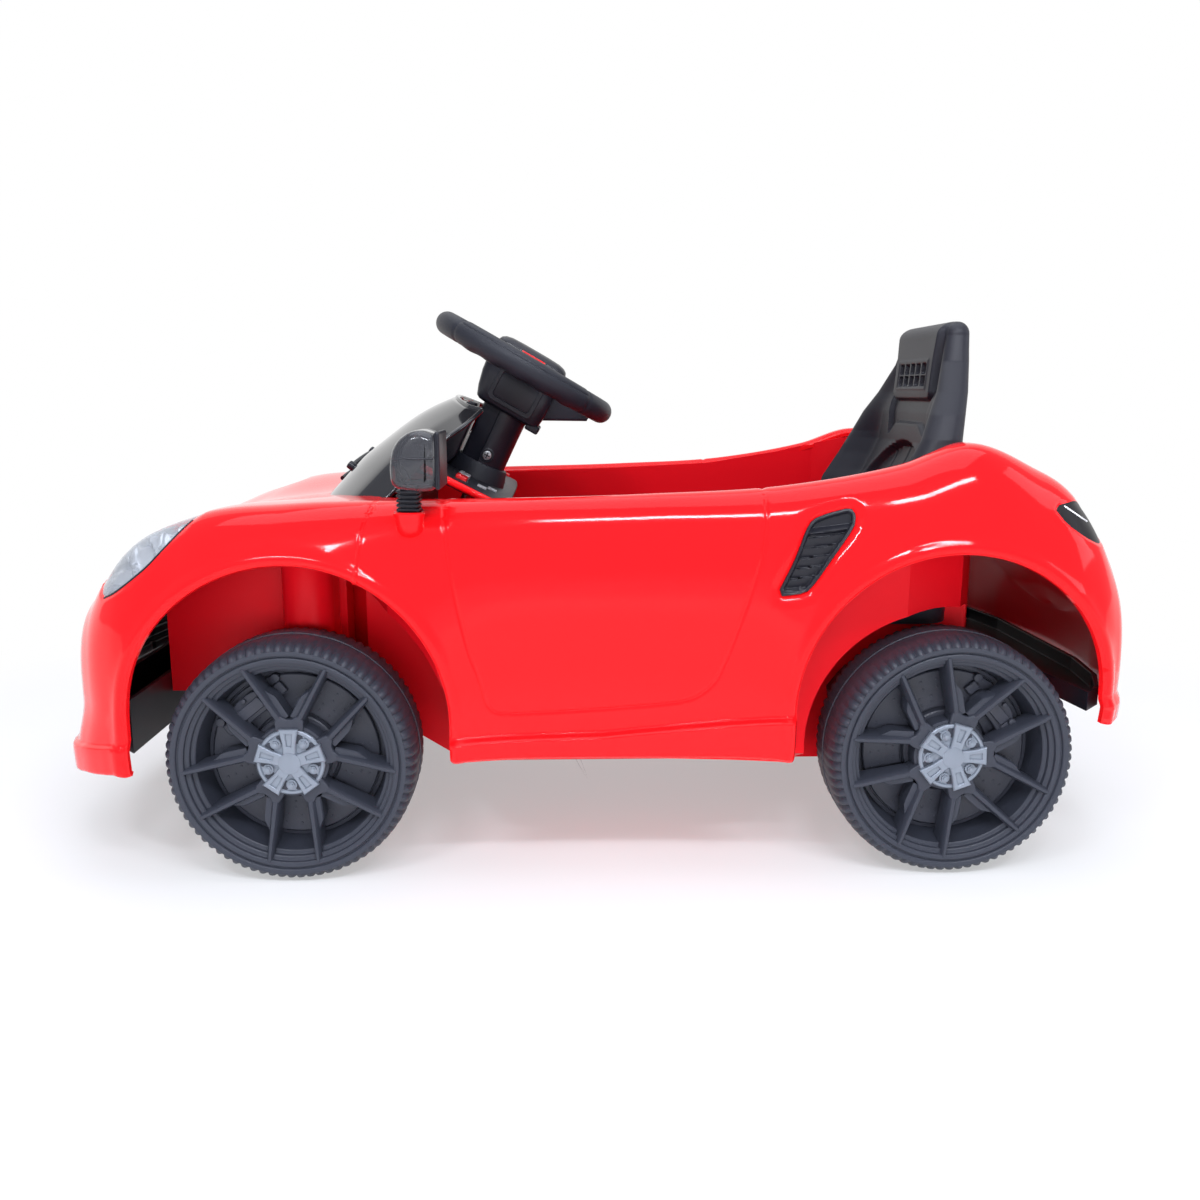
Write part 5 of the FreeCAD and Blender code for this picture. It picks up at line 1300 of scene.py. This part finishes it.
# Dashboard: sloping panel, grained collar, upright behind the column, switches and a red edge.
dash = {
    "outline": ((-66, 80), (-38, 138), (30, 152), (46, 148)), "switchX": -8.0,
    "collar": ((25.7, -131), (33, -131), (33.4, -127), (32.2, -124), (29.4, -111), (28.4, -109), (26.4, -108.6),
               (25.7, -109.4)),
    "upright": ((-26.5, -55), (-26.5, -128), (-58, -128), (-54, -80), (-38, -55)),
    "edge": ((-52, -116), (-40, -137), (-20, -143), (6, -149), (30, -152)), "edgeZ": -126.5,
    "studs": ((-30, -96), (-26, -110), (-30, 96), (-26, 110), (22, 84), (22, 98)),
    "keys": ((14, -84), (24, -66), (26, 60)),
}
panelLoop = chaikin(list(dash["outline"]) + [(x, -y) for x, y in reversed(dash["outline"])], 2, True)
panelRidges = [softBox((-30 + 9 * k, -27 + 9 * k), (-52, -34), (-126.4, -124.8), 0.7) for k in range(3)]
dashTop = joined(slab(panelLoop, -131.5, -125.8, 2.2), turnedShape(dash["collar"], 56), *panelRidges,
                 *[mirroredY(shape) for shape in panelRidges])
dashBeam = softBox((-214, -188), (-160, 160), (306, 333), 3.0)
addPiece("dashboard", joined(onColumn(dashTop), dashBeam), grainBlack, "chassis", ["dashboard"])
dashUpright = sideways(slab(chaikin(dash["upright"], 1, True), -24, 24, 2.5))
addPiece("dashUpright", onColumn(dashUpright), satinBlack, "chassis")
edgePath = np.array([(x, y, dash["edgeZ"]) for x, y in dash["edge"]], float)
edgeStrip = tubeShape(chaikin(edgePath, 2), 3.6, 12)
for side, handed in bothHands:
    addPiece(f"dashEdge_{side}", onColumn(handed(edgeStrip)), redGloss, "chassis", ())
for name, y, look, node, slotName in (("powerRocker", -88, redSwitch, "power_rocker", "red_switch"),
                                      ("directionRocker", -60, greySwitch, "direction_rocker", "black_trim")):
    x = dash["switchX"]
    rocker = joined(softBox((x - 6, x + 6), (y - 9.4, y + 9.4), (-131, -122.2), 1.2),
                    softBox((x - 4.5, x - 1), (y - 7, y + 7), (-122.6, -121.6), 0.4))
    addPiece(name, onColumn(rocker), look, node, [node])
soundButton = disc(6, -127.6, -121, 1.2, 28, (dash["switchX"], 62))
addPiece("soundButton", onColumn(soundButton), redSwitch, "sound_button", ["sound_button"])
studs = [disc(2.8, -126.4, -123.8, 0.8, 20, spot) for spot in dash["studs"]]
studs += [softBox((x - 5, x + 5), (y - 4, y + 4), (-126.4, -123.6), 0.9) for x, y in dash["keys"]]
addPiece("dashStuds", onColumn(joined(*studs)), greySwitch, "chassis")
print("steering and dashboard built")

# Floor, light and camera.
studio = {"camera": (-25.3, -1166.0, 440.0), "pitch": 11.03, "yaw": 1.82, "roll": 0.12, "lens": 32.14,
          "floor": (0.86, 0.86, 0.86),
          "fade": (0.62, 1.3), "veil": 0.4,  # metres over which the floor goes to white, from its least share
          "back": (0.9, 0.9, 0.9), "backFade": (0.1, 0.2), "coolWhite": (0.93, 0.97, 1.06), "world": 0.46}


def paleLook(name, colour, fade):
    # Plain pale surface that goes over to white around the car for the eye, for gloss and for glass.
    look = plastic(name, colour, 0.6, 0.05, sheen=0.01)
    nodes, links = look.node_tree.nodes, look.node_tree.links
    place, rays, glow, scale, away, span, share, blend = (nodes.new("ShaderNode" + kind) for kind in (
        "TexCoord", "LightPath", "Emission", "VectorMath", "VectorMath", "MapRange", "Math", "MixShader"))
    scale.operation, away.operation, span.interpolation_type = "MULTIPLY", "LENGTH", "SMOOTHSTEP"
    scale.inputs[1].default_value = (1.0, 1.35, 0.0)
    span.inputs["From Min"].default_value, span.inputs["From Max"].default_value = fade
    span.inputs["To Min"].default_value = studio["veil"]
    links.new(place.outputs["Object"], scale.inputs[0])
    links.new(scale.outputs["Vector"], away.inputs[0])
    links.new(away.outputs["Value"], span.inputs["Value"])
    seen = rays.outputs["Is Camera Ray"]
    for kind in ("Is Glossy Ray", "Is Transmission Ray"):
        total = nodes.new("ShaderNodeMath")
        total.operation, total.use_clamp = "ADD", True
        links.new(seen, total.inputs[0])
        links.new(rays.outputs[kind], total.inputs[1])
        seen = total.outputs["Value"]
    share.operation = "MULTIPLY"
    links.new(seen, share.inputs[0])
    links.new(span.outputs["Result"], share.inputs[1])
    links.new(share.outputs["Value"], blend.inputs["Fac"])
    links.new(nodes["Principled BSDF"].outputs["BSDF"], blend.inputs[1])
    links.new(glow.outputs["Emission"], blend.inputs[2])
    links.new(blend.outputs["Shader"], nodes["Material Output"].inputs["Surface"])
    return look


def stageSheet(name, corners, look):
    mesh = bpy.data.meshes.new(name)
    mesh.from_pydata(corners, [], [(0, 1, 2, 3)])
    mesh.materials.append(look)
    obj = bpy.data.objects.new(name, mesh)
    bpy.context.scene.collection.objects.link(obj)
    return obj


floor = stageSheet("floor", [(-12, -12, 0), (12, -12, 0), (12, 12, 0), (-12, 12, 0)],
                   paleLook("floorPale", studio["floor"], studio["fade"]))
backdrop = stageSheet("backdrop", [(-16, 7, 10), (16, 7, 10), (16, 7, -0.5), (-16, 7, -0.5)],
                      paleLook("backPale", studio["back"], studio["backFade"]))


def softLight(name, place, target, size, power, glossy):
    lamp = bpy.data.lights.new(name, "AREA")
    lamp.shape = "RECTANGLE"
    lamp.size, lamp.size_y = size
    lamp.energy = power
    lamp.color = studio["coolWhite"]
    obj = bpy.data.objects.new(name, lamp)
    bpy.context.scene.collection.objects.link(obj)
    direction = Vector(target) - Vector(place)
    obj.matrix_world = Matrix.Translation(place) @ direction.to_track_quat("-Z", "Y").to_matrix().to_4x4()
    obj.visible_glossy = glossy


# Lamps as name, place, target, size, power and whether they show in gloss.
for lampValues in (
        ("overhead", (0.1, 0.2, 2.6), (0, 0, 0.2), (2.8, 2.2), 32, True),
        ("nearHigh", (-0.2, -2.0, 2.5), (0, 0, 0.2), (2.6, 0.9), 23, False),
        ("nearLow", (0.0, -2.2, 0.26), (0, 0, 0.2), (2.6, 0.35), 28, False),
        ("stripFront", (-0.75, -1.5, 1.75), (-0.2, 0, 0.25), (0.55, 0.11), 10, True),
        ("stripDoor", (0.12, -1.5, 1.75), (0.05, 0, 0.25), (0.42, 0.11), 8, True),
        ("stripRear", (0.75, -1.5, 1.75), (0.3, 0, 0.25), (0.6, 0.11), 11, True),
        ("frontFill", (-2.4, -0.9, 1.3), (0, 0, 0.2), (0.9, 1.4), 6, False),
        ("rearFill", (2.4, -0.4, 1.4), (0, 0, 0.2), (0.9, 1.4), 7, True)):
    softLight(*lampValues)
world = bpy.data.worlds.new("studioWorld")
world.use_nodes = True
background = world.node_tree.nodes["Background"]
background.inputs["Color"].default_value = (*studio["coolWhite"], 1)
background.inputs["Strength"].default_value = studio["world"]
bpy.context.scene.world = world
bpy.context.scene.view_settings.view_transform = "Standard"

cameraData = bpy.data.cameras.new("camera")
cameraData.lens = studio["lens"]
cameraData.sensor_width = 36
cameraData.clip_start, cameraData.clip_end = 0.02, 60
camera = bpy.data.objects.new("camera", cameraData)
bpy.context.scene.collection.objects.link(camera)
turn = (Matrix.Rotation(-math.radians(studio["yaw"]), 4, "Z")
        @ Matrix.Rotation(math.radians(90 - studio["pitch"]), 4, "X")
        @ Matrix.Rotation(math.radians(studio["roll"]), 4, "Z"))
camera.matrix_world = Matrix.Translation([v * mm for v in studio["camera"]]) @ turn
bpy.context.scene.camera = camera

print("scene done")
